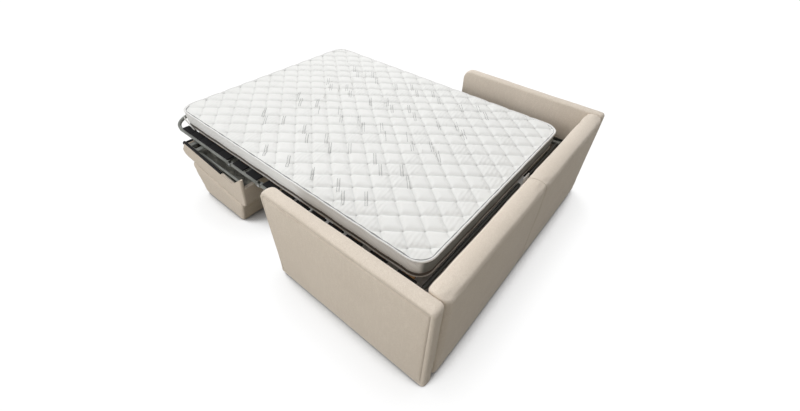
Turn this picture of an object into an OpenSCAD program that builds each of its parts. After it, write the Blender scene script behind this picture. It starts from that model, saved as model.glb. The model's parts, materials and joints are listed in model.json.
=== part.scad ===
// Sofa bed with a flip-over seat, modelled as an open bed.
// Lengths are millimetres, +Z is up and the sofa faces -Y. +X is the sitter's left.
// Inside the modules y = -s, where s is the distance forward from the sofa's rear face.

/* [Mattress] */
// Width of the mattress
mattress_w = 1400; // [1300:1:1450]
// Length of the mattress
mattress_l = 1917; // [1880:1:1960]
// Thickness of the mattress at its highest point
mattress_h = 115; // [105:1:125]
// Radius of the mattress corners in plan
mattress_corner = 70; // [40:1:90]
// How far the top and bottom of the mattress swell
mattress_crown = 6; // [3:0.5:8]

/* [Arms and back] */
// Gap from the mattress side to the arm
bed_to_arm = 126; // [124:1:140]
// Thickness of an arm
arm_t = 67; // [60:1:80]
// Depth of the arms from the rear face to the front
arm_depth = 981; // [960:1:1020]
// Height of the arms and the back
arm_h = 611; // [590:1:650]
// Radius of the arm corners seen from the side
arm_corner = 55; // [40:1:65]
// Thickness of the back panel
back_t = 97; // [85:1:105]
// Gap between the upholstery and the floor
skirt_gap = 17; // [16:1:30]
// Thickness of the padding round the boards of the arms and the back
padding = 14; // [10:1:18]

/* [Seat and backrest] */
// Height of the closed seat's surface at its front lip
seat_top = 533; // [528:1:538]
// How much the closed seat slopes down to the rear, in degrees
seat_rake = 8.4; // [7.5:0.1:9]
// Depth of the seat
seat_depth = 678; // [665:1:682]
// How far the closed seat's lip reaches past the arms
seat_past_arms = 121; // [115:1:128]
// Gap between the seat side and the arm
seat_side_gap = 16; // [12:1:18]
// Thickness of the seat's foam
seat_foam_t = 50; // [42:1:52]
// Thickness of the boards of the seat tray
tray_board = 12; // [10:1:14]
// Height of the backrest
backrest_h = 526; // [500:1:530]
// Gap between the folded backrest and the seat
backrest_gap = 10; // [8:1:14]

/* [Folding frame] */
// Height of the frame's hinges when the bed is open
hinge_z = 385; // [378:1:392]
// Height of the mid rails when the bed is folded away
folded_z = 37; // [34:1:40]
// Distance from the rear face to the pivot of the head section
head_pivot_s = 150; // [144:1:156]
// Distance between the two pivots on a side frame
pivot_pitch = 230; // [215:1:236]
// Outer radius of the frame tubes
rail_r = 12.5; // [11:0.5:13.5]
// Wall of the frame tubes
tube_wall = 1.5; // [1:0.1:2.5]
// Gap from the mattress side to the centre of a rail
rail_offset = 40; // [36:1:42]
// Outer radius of the cross tubes
cross_r = 10; // [8:0.5:11]
// Outer radius of the foot hoop's tube
hoop_r = 8; // [6:0.5:9]
// Height of the hoop above the hinges
hoop_rise = 55; // [45:1:60]
// Thickness of the flat steel
plate_t = 6; // [5:0.5:6.5]
// Radius of the hinge bolts
bolt_r = 4; // [3:0.5:5]
// Width of a slat
slat_w = 62; // [50:1:70]
// Thickness of a slat
slat_t = 6; // [5:0.5:8]

/* [Hidden] */
$fn = 40;

// Clearances
fit = 0.05;
gap = 0.3;
fold_gap = 6;
stack_gap = 13;

// Widths, from the middle outwards
rail_x = mattress_w / 2 + rail_offset;
rail_out = rail_x + rail_r;
arm_in = mattress_w / 2 + bed_to_arm;
arm_out = arm_in + arm_t;
swing_x = rail_out + 5;
frame_x = swing_x + plate_t + 6.5;
frame_out = frame_x + plate_t;
seat_x = arm_in - seat_side_gap;

// Folding geometry
rise = rail_r + slat_t;
stack = rise + mattress_h;
head_l = hinge_z - folded_z;
bridge_l = 2 * stack + stack_gap;
mattress_s = head_pivot_s + 37;
head_pad = head_pivot_s + head_l - mattress_s;
hoop_reach = 31;
foot_pad = (mattress_l - head_pad - bridge_l - hoop_reach - stack - fold_gap) / 2;
mid_l = foot_pad + hoop_reach + stack + fold_gap;
h_s = head_pivot_s + head_l;
a_s = h_s + mid_l;
b_s = a_s + bridge_l;
foot_end = b_s + foot_pad + hoop_reach;
rear_y = foot_end / 2;
swing_s = head_pivot_s + pivot_pitch;
link_s = swing_s + head_l;

// The seat turns over about this point: a place (s, z) goes to (flip_s - s, flip_z - z)
flip_s = b_s + head_pivot_s + mid_l;
flip_z = 2 * hinge_z - head_l + bridge_l;
seat_near = flip_s - arm_depth - seat_past_arms;
seat_far = seat_near + seat_depth;
seat_low = flip_z - seat_top;
skin = 4;
tray_up = skin + seat_foam_t;
lining_up = tray_up + tray_board;
lining_t = 3;
wall_x = seat_x - skin - tray_board;
rim_low = hinge_z - 50;
rim_peak = hinge_z + 22;
bar_r = 8;
bar_x = wall_x - lining_t - bar_r - 3;
bar_z = rim_low + 15;
bracket_z = hinge_z - rail_r - gap - plate_t;

// Height of the sitting surface, which faces down and rises towards the foot
function seat_z(s) = seat_low + (s - seat_near) * tan(seat_rake);

// The backrest hinge
hinge_v_s = seat_far - 25;
hinge_v_z = seat_z(hinge_v_s) - 12;
knuckle_r = 7;
knuckle_w = 30;
backrest_far = seat_far - 57;
backrest_near = backrest_far - backrest_h;
leaf_t = 4;
leaf_x = seat_x * 0.55;

// The base
glide_h = 15;
rail_h = 30;
base_z = glide_h;
base_near = back_t + gap;
base_front = arm_depth - 40;
boss_r = 12;
ear_t = 5;
ear_r = rail_r - 0.5;
ear_gap = rail_r + 3.5;

fabric = [0.80, 0.76, 0.69];
timber = [0.72, 0.55, 0.36];
steel = [0.52, 0.56, 0.53];
bright = [0.72, 0.73, 0.74];
slat_wood = [0.80, 0.52, 0.22];
ticking = [0.93, 0.93, 0.92];
dark = [0.22, 0.22, 0.23];
plastic = [0.10, 0.10, 0.10];
foam_tint = [0.90, 0.86, 0.72];

// Helpers

// Puts y = 0 at the sofa's rear face
module bed() translate([0, rear_y, 0]) children();

// Extrudes an outline drawn as (s, z) from x0 to x1
module slab(x0, x1) translate([x1, 0, 0]) rotate([90, 0, -90]) linear_extrude(x1 - x0) children();

module both_sides() {
    children();
    mirror([1, 0, 0]) children();
}

// A round bar across the bed
module cross_bar(x0, x1, s, z, r) translate([x0, -s, z]) rotate([0, 90, 0]) cylinder(r = r, h = x1 - x0);

// A tube along the bed
module long_tube(x, z, s0, s1, r, wall) translate([x, -s0, z]) rotate([90, 0, 0]) difference() {
    cylinder(r = r, h = s1 - s0);
    translate([0, 0, -1]) cylinder(r = r - wall, h = s1 - s0 + 2);
}

// Rounded rectangle as a list of points
function rounded(hx, hy, r, k) = [for (q = [0:3], i = [0:k])
    let (a = 90 * q + 90 * i / k,
         cx = (q == 0 || q == 3 ? 1 : -1) * (hx - r),
         cy = (q < 2 ? 1 : -1) * (hy - r))
    [cx + r * cos(a), cy + r * sin(a)]];

function ring(hx, hy, r, inset, f, z, k) =
    [for (p = rounded(hx - inset, hy - inset, max(r - inset, 2), k)) [p[0] * f, p[1] * f, z]];

// A stuffed block: swelling faces, rounded edges and sides that draw in at half height
module padded(size, corner, edge, low_crown, high_crown, tuck, k = 4) {
    hx = size[0] / 2;
    hy = size[1] / 2;
    h = size[2];
    caps = [0.35, 0.7, 0.92];
    turns = [0, 30, 60, 90];
    rings = concat(
        [for (f = caps) ring(hx, hy, corner, edge, f, -low_crown * (1 - f * f), k)],
        [for (a = turns) ring(hx, hy, corner, edge * (1 - sin(a)), 1, edge * (1 - cos(a)), k)],
        [ring(hx, hy, corner, tuck, 1, h / 2, k)],
        [for (a = turns) ring(hx, hy, corner, edge * (1 - cos(a)), 1, h - edge * (1 - sin(a)), k)],
        [for (i = [2:-1:0]) ring(hx, hy, corner, edge, caps[i], h + high_crown * (1 - pow(caps[i], 2)), k)]);
    n = 4 * (k + 1);
    m = len(rings);
    points = concat([for (r = rings) each r], [[0, 0, -low_crown], [0, 0, h + high_crown]]);
    faces = concat(
        [for (i = [0:m - 2], j = [0:n - 1]) [i * n + j, (i + 1) * n + j, i * n + (j + 1) % n]],
        [for (i = [0:m - 2], j = [0:n - 1])
            [(i + 1) * n + j, (i + 1) * n + (j + 1) % n, i * n + (j + 1) % n]],
        [for (j = [0:n - 1]) [m * n, j, (j + 1) % n]],
        [for (j = [0:n - 1]) [m * n + 1, (m - 1) * n + (j + 1) % n, (m - 1) * n + j]]);
    polyhedron(points, faces, convexity = 4);
}

// Arms and back

board_corner = (arm_corner - padding) * 0.6;

module arm_board(z0) slab(arm_in + padding, arm_out - padding) polygon([
    [padding, z0], [arm_depth - padding, z0], [arm_depth - padding, arm_h - padding - board_corner],
    [arm_depth - padding - board_corner, arm_h - padding], [padding + board_corner, arm_h - padding],
    [padding, arm_h - padding - board_corner]]);

// The slab stands on its edge and is cut off square above the floor
module arm_cover(side) color(fabric) bed() mirror([side < 0 ? 1 : 0, 0, 0]) difference() {
    translate([arm_in, -arm_depth / 2, arm_h / 2]) rotate([0, 90, 0]) rotate([0, 0, 90])
        padded([arm_depth, arm_h, arm_t - 1], arm_corner, 14, 0, 1, 1);
    arm_board(skirt_gap - 1);
    translate([0, -arm_depth - 1, -1]) cube([arm_out + 1, arm_depth + 2, skirt_gap + 1]);
}

module arm_core(side) color(timber) bed() mirror([side < 0 ? 1 : 0, 0, 0]) arm_board(skirt_gap);

module back_board() translate([-arm_in + padding, -back_t + padding, skirt_gap - 1])
    cube([2 * (arm_in - padding), back_t - 2 * padding, arm_h - skirt_gap - padding + 1]);

module back_cover() color(fabric) bed() difference() {
    translate([0, -back_t, arm_h / 2]) rotate([-90, 0, 0])
        padded([2 * (arm_in - gap), arm_h, back_t], 6, 26, 0, 0, 1);
    back_board();
    translate([-arm_in, -back_t - 1, -1]) cube([2 * arm_in, back_t + 2, skirt_gap + 1]);
}

module back_core() color(timber) bed() intersection() {
    back_board();
    translate([-arm_in, -back_t, skirt_gap]) cube([2 * arm_in, back_t, arm_h]);
}

// Base

module base_glides() color(plastic) bed() both_sides()
    for (s = [base_near + 40, base_front - 40])
        translate([(frame_out + arm_in) / 2, -s, 0]) cylinder(r = 20, h = glide_h);

module base_rail(side) color(steel) bed() mirror([side < 0 ? 1 : 0, 0, 0]) difference() {
    translate([frame_out, -base_front, base_z]) cube([arm_in - frame_out, base_front - base_near, rail_h]);
    translate([frame_out + 2, -base_front - 1, base_z + 2])
        cube([arm_in - frame_out - 4, base_front - base_near + 2, rail_h - 4]);
}

base_cross_s = back_t + gap + cross_r;
base_cross_z = [base_z + 45, hinge_z - 60];

module base_cross_tubes() color(steel) bed() for (z = base_cross_z) difference() {
    cross_bar(-frame_x + gap, frame_x - gap, base_cross_s, z, cross_r);
    cross_bar(-frame_x, frame_x, base_cross_s, z, cross_r - tube_wall);
}

// Two uprights and a top bar, with a boss at each pivot
module side_frame(side) color(steel) bed() mirror([side < 0 ? 1 : 0, 0, 0]) difference() {
    union() {
        slab(frame_x, frame_out) {
            translate([base_near, hinge_z - 20]) square([swing_s + 20 - base_near, 36]);
            translate([base_near, base_z]) square([head_pivot_s + 15 - base_near, hinge_z - base_z]);
            translate([swing_s - 15, base_z]) square([30, hinge_z - base_z]);
        }
        cross_bar(rail_out + gap, frame_x + 1, head_pivot_s, hinge_z, boss_r);
        cross_bar(swing_x + plate_t + gap, frame_x + 1, swing_s, hinge_z, boss_r);
    }
    for (s = [head_pivot_s, swing_s]) cross_bar(rail_x, frame_out + 1, s, hinge_z, bolt_r + fit);
}

// A bolt with a head at each end; x0 and x1 are the outer faces that it clamps
module bolt(x0, x1, s, z, head_t = 3) {
    cross_bar(x0 - head_t, x1 + head_t, s, z, bolt_r);
    cross_bar(x0 - gap - head_t, x0 - gap, s, z, bolt_r + 3.5);
    cross_bar(x1 + gap, x1 + gap + head_t, s, z, bolt_r + 3.5);
}

module head_pivot_bolts() color(bright) bed() both_sides()
    bolt(rail_out - ear_t, frame_out, head_pivot_s, hinge_z);

module swing_pivot_bolts() color(bright) bed() both_sides()
    bolt(swing_x, frame_out, swing_s, hinge_z);

// Folding frame

// A flat ear on one end of a rail; dir is 1 where the rail runs forward from the hinge
module ear(x0, s, dir) difference() {
    slab(x0, x0 + ear_t) {
        translate([s, hinge_z]) circle(r = ear_r);
        translate([dir > 0 ? s : s - ear_gap - 20, hinge_z - ear_r]) square([ear_gap + 20, 2 * ear_r]);
    }
    cross_bar(x0 - 1, x0 + ear_t + 1, s, hinge_z, bolt_r + fit);
}

// The ear at a section's rear end lies outside and the one at its front end lies inside
module section_rails(s0, s1, front_ear) color(steel) bed() both_sides() {
    long_tube(rail_x, hinge_z, s0 + ear_gap, front_ear ? s1 - ear_gap : s1, rail_r, tube_wall);
    ear(rail_out - ear_t, s0, 1);
    if (front_ear) ear(rail_x - rail_r, s1, -1);
}

module cross_tubes(places) color(steel) bed() for (s = places) difference() {
    cross_bar(-rail_x + rail_r + gap, rail_x - rail_r - gap, s, hinge_z, cross_r);
    cross_bar(-rail_x, rail_x, s, hinge_z, cross_r - tube_wall);
}

// Slats lie on the rails, evenly spaced between two places
module slats(s0, s1, count) color(slat_wood) bed()
    for (i = [0:count - 1])
        translate([-rail_x, -(s0 + (s1 - s0) * (count == 1 ? 0.5 : i / (count - 1))) - slat_w / 2,
            hinge_z + rail_r])
            cube([2 * rail_x, slat_w, slat_t]);

module hinge_bolts(s) color(bright) bed() both_sides() bolt(rail_x - rail_r, rail_out, s, hinge_z, 3);

slat_edge = 45 + slat_w / 2;

module head_rails() section_rails(head_pivot_s, h_s, true);
module head_cross_tubes() cross_tubes([head_pivot_s + 30, h_s - 45]);
module head_slats() slats(mattress_s + slat_edge, h_s - slat_edge, 2);
module head_hinge_bolts() hinge_bolts(h_s);

clip_x = 190;
clip_w = 70;

// A white clip on the head cross tube that keeps the mattress end in place
module head_end_clip() color(ticking) bed() difference() {
    translate([-clip_x - clip_w, 0, 0]) slab(0, clip_w) {
        translate([head_pivot_s + 12, hinge_z - cross_r - 3]) square([36, 2 * cross_r + 6]);
        translate([head_pivot_s + 12, hinge_z + cross_r]) square([6, 40]);
    }
    cross_bar(-rail_x, rail_x, head_pivot_s + 30, hinge_z, cross_r + fit);
}

module mid_rails() difference() {
    section_rails(h_s, a_s, true);
    color(steel) bed() both_sides()
        cross_bar(rail_x - rail_r - 1, rail_out + 1, link_s, hinge_z, bolt_r + fit);
}
module mid_cross_tubes() cross_tubes([h_s + 45, (h_s + a_s) / 2, a_s - 45]);
module mid_slats() slats(h_s + slat_edge, a_s - slat_edge, 6);
module mid_hinge_bolts() hinge_bolts(a_s);
module swing_link_bolts() color(bright) bed() both_sides()
    bolt(rail_x - rail_r, swing_x + plate_t, link_s, hinge_z, 3);

module bridge_rails() section_rails(a_s, b_s, true);
module bridge_cross_tube() cross_tubes([(a_s + b_s) / 2]);
module bridge_slats() slats(a_s + slat_edge, b_s - slat_edge, 2);
module bridge_hinge_bolts() hinge_bolts(b_s);

foot_rail_end = foot_end - hoop_reach - 20;

module foot_rails() section_rails(b_s, foot_rail_end, false);
module foot_cross_tubes() cross_tubes([b_s + 45, foot_rail_end - 45]);
module foot_slats() slats(b_s + slat_edge, foot_rail_end - slat_edge, 5);

hoop_s = foot_end - hoop_r;
bend = 24;

// Out of the rails, up at the mattress end and across
module foot_hoop() color(steel) bed() {
    both_sides() {
        translate([rail_x, -foot_rail_end + 30, hinge_z]) rotate([90, 0, 0])
            cylinder(r = hoop_r, h = hoop_s - bend - foot_rail_end + 30);
        translate([rail_x, -foot_rail_end + 30, hinge_z]) rotate([90, 0, 0])
            cylinder(r = rail_r - tube_wall - gap, h = 28);
        translate([rail_x, -hoop_s + bend, hinge_z + bend]) rotate([0, 90, 0]) rotate([0, 0, -90])
            rotate_extrude(angle = 90) translate([bend, 0]) circle(r = hoop_r);
        translate([rail_x, -hoop_s, hinge_z + bend]) cylinder(r = hoop_r, h = hoop_rise - 2 * bend);
        translate([rail_x - bend, -hoop_s, hinge_z + hoop_rise - bend]) rotate([90, 0, 0])
            rotate_extrude(angle = 90) translate([bend, 0]) circle(r = hoop_r);
    }
    cross_bar(-rail_x + bend, rail_x - bend, hoop_s, hinge_z + hoop_rise, hoop_r);
}

// Mattress, cut where the frame folds

module mattress_part(s0, s1) color(ticking) bed() intersection() {
    translate([0, -mattress_s - mattress_l / 2, hinge_z + rise])
        padded([mattress_w, mattress_l, mattress_h - mattress_crown], mattress_corner, 14, 0,
            mattress_crown, 3, 5);
    translate([-mattress_w, -s1, hinge_z]) cube([2 * mattress_w, s1 - s0, 2 * stack]);
}

module mattress_head() mattress_part(mattress_s - 1, h_s);
module mattress_mid() mattress_part(h_s, a_s);
module mattress_bridge() mattress_part(a_s, b_s);
module mattress_foot() mattress_part(b_s, foot_end);

// Seat, upside down under the foot section

// Moves every side of a convex outline inwards by d
function inset(p, d) = [for (i = [0:len(p) - 1])
    let (a = p[(i + len(p) - 1) % len(p)], b = p[i], c = p[(i + 1) % len(p)],
         u = (b - a) / norm(b - a), v = (c - b) / norm(c - b),
         n = [-u[1], u[0]], m = [-v[1], v[0]])
    b + d * (n + m) / (1 + n * m)];

// A stuffed block with one outline (s, z) from side to side, drawn in at both ends
module bolster(outline, hx, edge) {
    turns = [0, 30, 60, 90];
    places = concat([for (a = turns) [-hx + edge * (1 - cos(a)), edge * (1 - sin(a))]],
        [for (i = [3:-1:0]) [hx - edge * (1 - cos(turns[i])), edge * (1 - sin(turns[i]))]]);
    n = len(outline);
    m = len(places);
    points = [for (q = places) each [for (p = inset(outline, q[1])) [q[0], -p[0], p[1]]]];
    faces = concat(
        [for (i = [0:m - 2], j = [0:n - 1]) [i * n + j, (i + 1) * n + (j + 1) % n, (i + 1) * n + j]],
        [for (i = [0:m - 2], j = [0:n - 1]) [i * n + j, i * n + (j + 1) % n, (i + 1) * n + (j + 1) % n]],
        [[for (j = [n - 1:-1:0]) j], [for (j = [0:n - 1]) (m - 1) * n + j]]);
    polyhedron(points, faces, convexity = 4);
}

// Side outline of the seat: near face, sitting surface, rounded rear edge and sloping far face
seat_side = [
    [seat_near - 7, hinge_z + 60], [seat_near + 36, seat_low + 44], [seat_near + 44, seat_low + 25],
    [seat_near + 62, seat_low + 13.4], [seat_near + 88, seat_z(seat_near + 88)],
    [seat_far - 46, seat_z(seat_far - 46)], [seat_far - 22, seat_z(seat_far - 22) + 2.6],
    [seat_far - 6, seat_z(seat_far) + 13], [seat_far, seat_z(seat_far) + 29],
    [seat_far - 4, seat_z(seat_far) + 45], [seat_far - 70, hinge_z], [seat_far - 126, hinge_z + 60]];

// All that is between two levels measured from the sitting surface
module layer(up0, up1) polygon([
    [seat_near - 50, seat_z(seat_near - 50) + up0], [seat_far + 50, seat_z(seat_far + 50) + up0],
    [seat_far + 50, seat_z(seat_far + 50) + up1], [seat_near - 50, seat_z(seat_near - 50) + up1]]);

// The sloping upper edge of the side walls, and all that is above it
module above_rim(d = 0) polygon([
    [seat_near - 19, rim_peak - d], [seat_near + 8, rim_peak - d], [seat_near + 112, hinge_z - 59 - d],
    [seat_near + 232, hinge_z - 46 - d], [seat_far - 70, hinge_z - d], [seat_far + 9, hinge_z + 1 - d],
    [seat_far + 9, hinge_z + 99], [seat_near - 19, hinge_z + 99]]);

// The end walls stop under the rails
module above_ends(d = 0) polygon([
    [seat_near - 19, rim_low - d], [seat_far - 110, rim_low - d], [seat_far - 110, bracket_z - d],
    [seat_far + 9, bracket_z - d], [seat_far + 9, hinge_z + 99], [seat_near - 19, hinge_z + 99]]);

module seat_tray() color(timber) bed() difference() {
    slab(-seat_x + skin, seat_x - skin) intersection() {
        polygon(inset(seat_side, skin));
        layer(tray_up, 400);
    }
    slab(-wall_x, wall_x) intersection() {
        polygon(inset(seat_side, skin + tray_board));
        layer(lining_up, 400);
    }
    slab(-seat_x - 9, seat_x + 9) above_rim();
    slab(-wall_x, wall_x) above_ends();
}

module seat_foam() color(foam_tint) bed() slab(-seat_x + skin, seat_x - skin) intersection() {
    polygon(inset(seat_side, skin));
    layer(skin - 2, tray_up);
}

module seat_cover() color(fabric) bed() difference() {
    bolster(seat_side, seat_x, 10);
    slab(-seat_x + skin, seat_x - skin) polygon(inset(seat_side, skin));
    slab(-seat_x - 9, seat_x + 9) above_rim();
    slab(-wall_x, wall_x) above_ends();
}

module seat_lining() color(dark) bed() difference() {
    slab(-wall_x, wall_x) intersection() {
        polygon(inset(seat_side, skin + tray_board));
        layer(lining_up, 400);
    }
    slab(-wall_x + lining_t, wall_x - lining_t) intersection() {
        polygon(inset(seat_side, skin + tray_board + lining_t));
        layer(lining_up + lining_t, 400);
    }
    slab(-seat_x - 9, seat_x + 9) above_rim(3);
    slab(-wall_x + lining_t, wall_x - lining_t) above_ends(2);
}

bracket_places = [seat_far - 180, seat_far - 100];
bracket_x = wall_x - lining_t;

// Flat brackets that carry the rails on the tray walls
module seat_brackets() color(steel) bed() both_sides() for (s = bracket_places) {
    translate([rail_x - rail_r, -s - 15, bracket_z]) cube([bracket_x - rail_x + rail_r, 30, plate_t]);
    translate([bracket_x - plate_t, -s - 15, bar_z + bar_r + gap])
        cube([plate_t, 30, bracket_z - bar_z - bar_r - gap + plate_t / 2]);
}

// Round bars inside the side walls, held by clips on the walls
module rim_bars() color(steel) bed() both_sides() {
    translate([bar_x, -seat_near - 34, bar_z]) rotate([90, 0, 0])
        cylinder(r = bar_r, h = seat_depth - 110);
    for (s = [seat_near + 50, seat_near + 400, seat_far - 130])
        translate([bar_x, -s - 10, bar_z - 3]) cube([wall_x - lining_t - bar_x, 20, 6]);
}

// The sitting surface near the hinge, as a unit vector and its distance from the hinge
slope = [cos(seat_rake), sin(seat_rake)];
slope_d = (seat_z(hinge_v_s) - hinge_v_z) * slope[0];

// Local frame with the origin at the hinge: u along the sitting surface and v towards it
module at_slope() translate([hinge_v_s, hinge_v_z]) rotate(seat_rake) children();

module seat_hinge_leaves() color(bright) bed() both_sides() difference() {
    union() {
        for (x = [leaf_x, leaf_x + 2 * knuckle_w + 1]) slab(x, x + knuckle_w) {
            translate([hinge_v_s, hinge_v_z]) circle(r = knuckle_r);
            at_slope() translate([-2, 0]) square([4, slope_d - 1]);
        }
        slab(leaf_x, leaf_x + 3 * knuckle_w + 1) at_slope()
            translate([-48, slope_d - 3.3]) square([53, 3]);
    }
    cross_bar(leaf_x - 1, leaf_x + 3 * knuckle_w + 2, hinge_v_s, hinge_v_z, 3 + fit);
}

module backrest_hinge_pins() color(bright) bed() both_sides()
    cross_bar(leaf_x - 2, leaf_x + 3 * knuckle_w + 3, hinge_v_s, hinge_v_z, 3);

// Backrest, a wedge that lies on the floor under the seat

function rest_z(s) = seat_z(s) - backrest_gap;

rest_side = [
    [backrest_near + 24, rest_z(backrest_near + 24)], [backrest_near + 6, rest_z(backrest_near) - 12],
    [backrest_near, rest_z(backrest_near) - 32], [backrest_near + 46, 18], [backrest_near + 58, 4],
    [backrest_near + 76, 0], [backrest_far - 61, 0], [backrest_far - 47, 5], [backrest_far - 41, 18],
    [backrest_far - 4, 188], [backrest_far, 208], [backrest_far - 3, 226], [backrest_far - 15, 239],
    [backrest_far - 35, rest_z(backrest_far - 35)]];

// The board inside, and the far face that the hinge leaves are screwed to
board_t = 18;
far_u = (rest_side[9] - rest_side[8]) / norm(rest_side[9] - rest_side[8]);
far_n = [far_u[1], -far_u[0]];

module rest_board_outline() polygon([
    [backrest_near + 70, 70], [rest_side[8][0] + 70 * far_u[0] - 4, 88],
    [rest_side[8][0] + 85 * far_u[0] - 4, 106], [backrest_near + 70, 88]]);

module backrest_board() color(timber) bed() slab(-seat_x + 40, seat_x - 40) rest_board_outline();

module backrest_cover() color(fabric) bed() difference() {
    bolster(rest_side, seat_x, 20);
    slab(-seat_x + 40, seat_x - 40) rest_board_outline();
}

module backrest_hinge_leaves() color(bright) bed() both_sides() difference() {
    slab(leaf_x + knuckle_w + 0.5, leaf_x + 2 * knuckle_w + 0.5) {
        translate([hinge_v_s, hinge_v_z]) circle(r = knuckle_r);
        polygon([[hinge_v_s + 4.5, hinge_v_z - 2.3], [hinge_v_s - 4.5, hinge_v_z + 2.3],
            rest_side[9] + 0.8 * far_n + 4 * far_u, rest_side[9] + (leaf_t + gap) * far_n - 8 * far_u]);
        polygon([rest_side[9] + gap * far_n, rest_side[9] + gap * far_n - 95 * far_u,
            rest_side[9] + (gap + leaf_t) * far_n - 95 * far_u, rest_side[9] + (gap + leaf_t) * far_n]);
    }
    cross_bar(leaf_x, leaf_x + 3 * knuckle_w, hinge_v_s, hinge_v_z, 3 + fit);
}

// Front links between the base and the mid section

module swing_arm(side) color(steel) bed() mirror([side < 0 ? 1 : 0, 0, 0]) difference() {
    slab(swing_x, swing_x + plate_t) {
        for (s = [swing_s, link_s]) translate([s, hinge_z]) circle(r = boss_r);
        translate([swing_s, hinge_z - boss_r]) square([head_l, 2 * boss_r]);
    }
    for (s = [swing_s, link_s]) cross_bar(rail_x, frame_out, s, hinge_z, bolt_r + fit);
}

module arm_cover_left() arm_cover(1);
module arm_cover_right() arm_cover(-1);
module arm_core_left() arm_core(1);
module arm_core_right() arm_core(-1);
module base_rail_left() base_rail(1);
module base_rail_right() base_rail(-1);
module side_frame_left() side_frame(1);
module side_frame_right() side_frame(-1);
module swing_arm_left() swing_arm(1);
module swing_arm_right() swing_arm(-1);

arm_cover_left();
arm_cover_right();
arm_core_left();
arm_core_right();
back_cover();
back_core();
base_glides();
base_rail_left();
base_rail_right();
base_cross_tubes();
side_frame_left();
side_frame_right();
head_pivot_bolts();
swing_pivot_bolts();
head_rails();
head_cross_tubes();
head_slats();
head_hinge_bolts();
head_end_clip();
mattress_head();
mid_rails();
mid_cross_tubes();
mid_slats();
mid_hinge_bolts();
swing_link_bolts();
mattress_mid();
bridge_rails();
bridge_cross_tube();
bridge_slats();
bridge_hinge_bolts();
mattress_bridge();
foot_rails();
foot_cross_tubes();
foot_slats();
foot_hoop();
mattress_foot();
seat_tray();
seat_foam();
seat_cover();
seat_lining();
seat_brackets();
rim_bars();
seat_hinge_leaves();
backrest_hinge_pins();
backrest_board();
backrest_cover();
backrest_hinge_leaves();
swing_arm_left();
swing_arm_right();
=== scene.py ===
import bmesh
import bpy
import json
import math
import numpy as np
from bpy.props import FloatProperty, FloatVectorProperty, PointerProperty
from mathutils import Matrix, Vector, noise


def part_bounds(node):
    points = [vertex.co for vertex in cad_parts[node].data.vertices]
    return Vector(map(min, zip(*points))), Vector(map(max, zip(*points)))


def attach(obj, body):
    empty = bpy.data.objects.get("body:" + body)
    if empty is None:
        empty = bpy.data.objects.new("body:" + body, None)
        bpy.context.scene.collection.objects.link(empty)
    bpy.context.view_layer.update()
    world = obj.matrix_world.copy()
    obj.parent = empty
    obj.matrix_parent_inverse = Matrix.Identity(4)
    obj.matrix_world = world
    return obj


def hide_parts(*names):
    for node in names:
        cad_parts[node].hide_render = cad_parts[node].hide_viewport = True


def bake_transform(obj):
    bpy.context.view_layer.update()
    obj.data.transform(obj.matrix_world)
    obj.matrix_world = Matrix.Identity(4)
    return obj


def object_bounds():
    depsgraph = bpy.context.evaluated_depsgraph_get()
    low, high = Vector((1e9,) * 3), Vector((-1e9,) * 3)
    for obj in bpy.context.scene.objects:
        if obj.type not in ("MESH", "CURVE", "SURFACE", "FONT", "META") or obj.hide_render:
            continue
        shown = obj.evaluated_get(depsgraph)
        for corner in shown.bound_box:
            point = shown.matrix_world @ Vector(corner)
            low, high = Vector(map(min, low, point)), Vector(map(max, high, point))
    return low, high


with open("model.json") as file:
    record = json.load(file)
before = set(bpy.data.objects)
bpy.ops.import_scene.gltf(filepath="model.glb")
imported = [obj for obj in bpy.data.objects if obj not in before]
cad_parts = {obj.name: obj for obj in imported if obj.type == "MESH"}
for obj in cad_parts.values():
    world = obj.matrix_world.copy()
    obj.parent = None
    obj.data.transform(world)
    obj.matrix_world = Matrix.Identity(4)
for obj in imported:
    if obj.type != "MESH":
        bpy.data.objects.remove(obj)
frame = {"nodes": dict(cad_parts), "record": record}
CAD_BOX = [[float(c) for c in corner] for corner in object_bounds()]

bl_info = {
    "name": "Sofa bed",
    "version": (1, 0, 0),
    "blender": (4, 5, 0),
    "location": "View3D > Sidebar > Sofa bed",
    "description": "Dresses the packed sofa bed: mattress, upholstery, frame finishes and stage",
    "category": "Object",
}

# Places are given as s, the distance forward of the sofa's rear face, which stands at this y
REAR = CAD_BOX[1][1]


def part_box(*names):
    boxes = [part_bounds(name) for name in names]
    low = [min(b[0][i] for b in boxes) for i in range(3)]
    high = [max(b[1][i] for b in boxes) for i in range(3)]
    return low, high


BED = part_box("mattress_head", "mattress_mid", "mattress_bridge", "mattress_foot")
ARM = part_box("arm_cover_left")
BACK = part_box("back_cover")
SEAT = part_box("seat_cover")
REST = part_box("backrest_cover")
# The covers hang a little below their boards
COVER_LOW = 0.007
# An arm's face in (s, z), and its corners' radii: top front, top rear, bottom rear, bottom front
ARM_LOW = (REAR - ARM[1][1] + 0.001, COVER_LOW)
ARM_HIGH = (REAR - ARM[0][1] - 0.001, ARM[1][2])
ARM_RADII = (0.062, 0.024, 0.012, 0.012)
JOINTS = {j["name"]: REAR - j["pos_m"][1] for j in frame["record"]["behaviour"]["joints"]}


# Settings

def length(name, about, size):
    return FloatProperty(name=name, description=about, default=size, subtype="DISTANCE", unit="LENGTH")


def colour(name, about, value):
    return FloatVectorProperty(name=name, description=about, default=value, subtype="COLOR", size=3,
                               min=0, max=1)


def power(name, about, watts):
    return FloatProperty(name=name, description=about, default=watts, unit="POWER")


def chosen(group):
    """The settings of one group."""
    return getattr(bpy.context.scene, "sofa_" + group)


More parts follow.
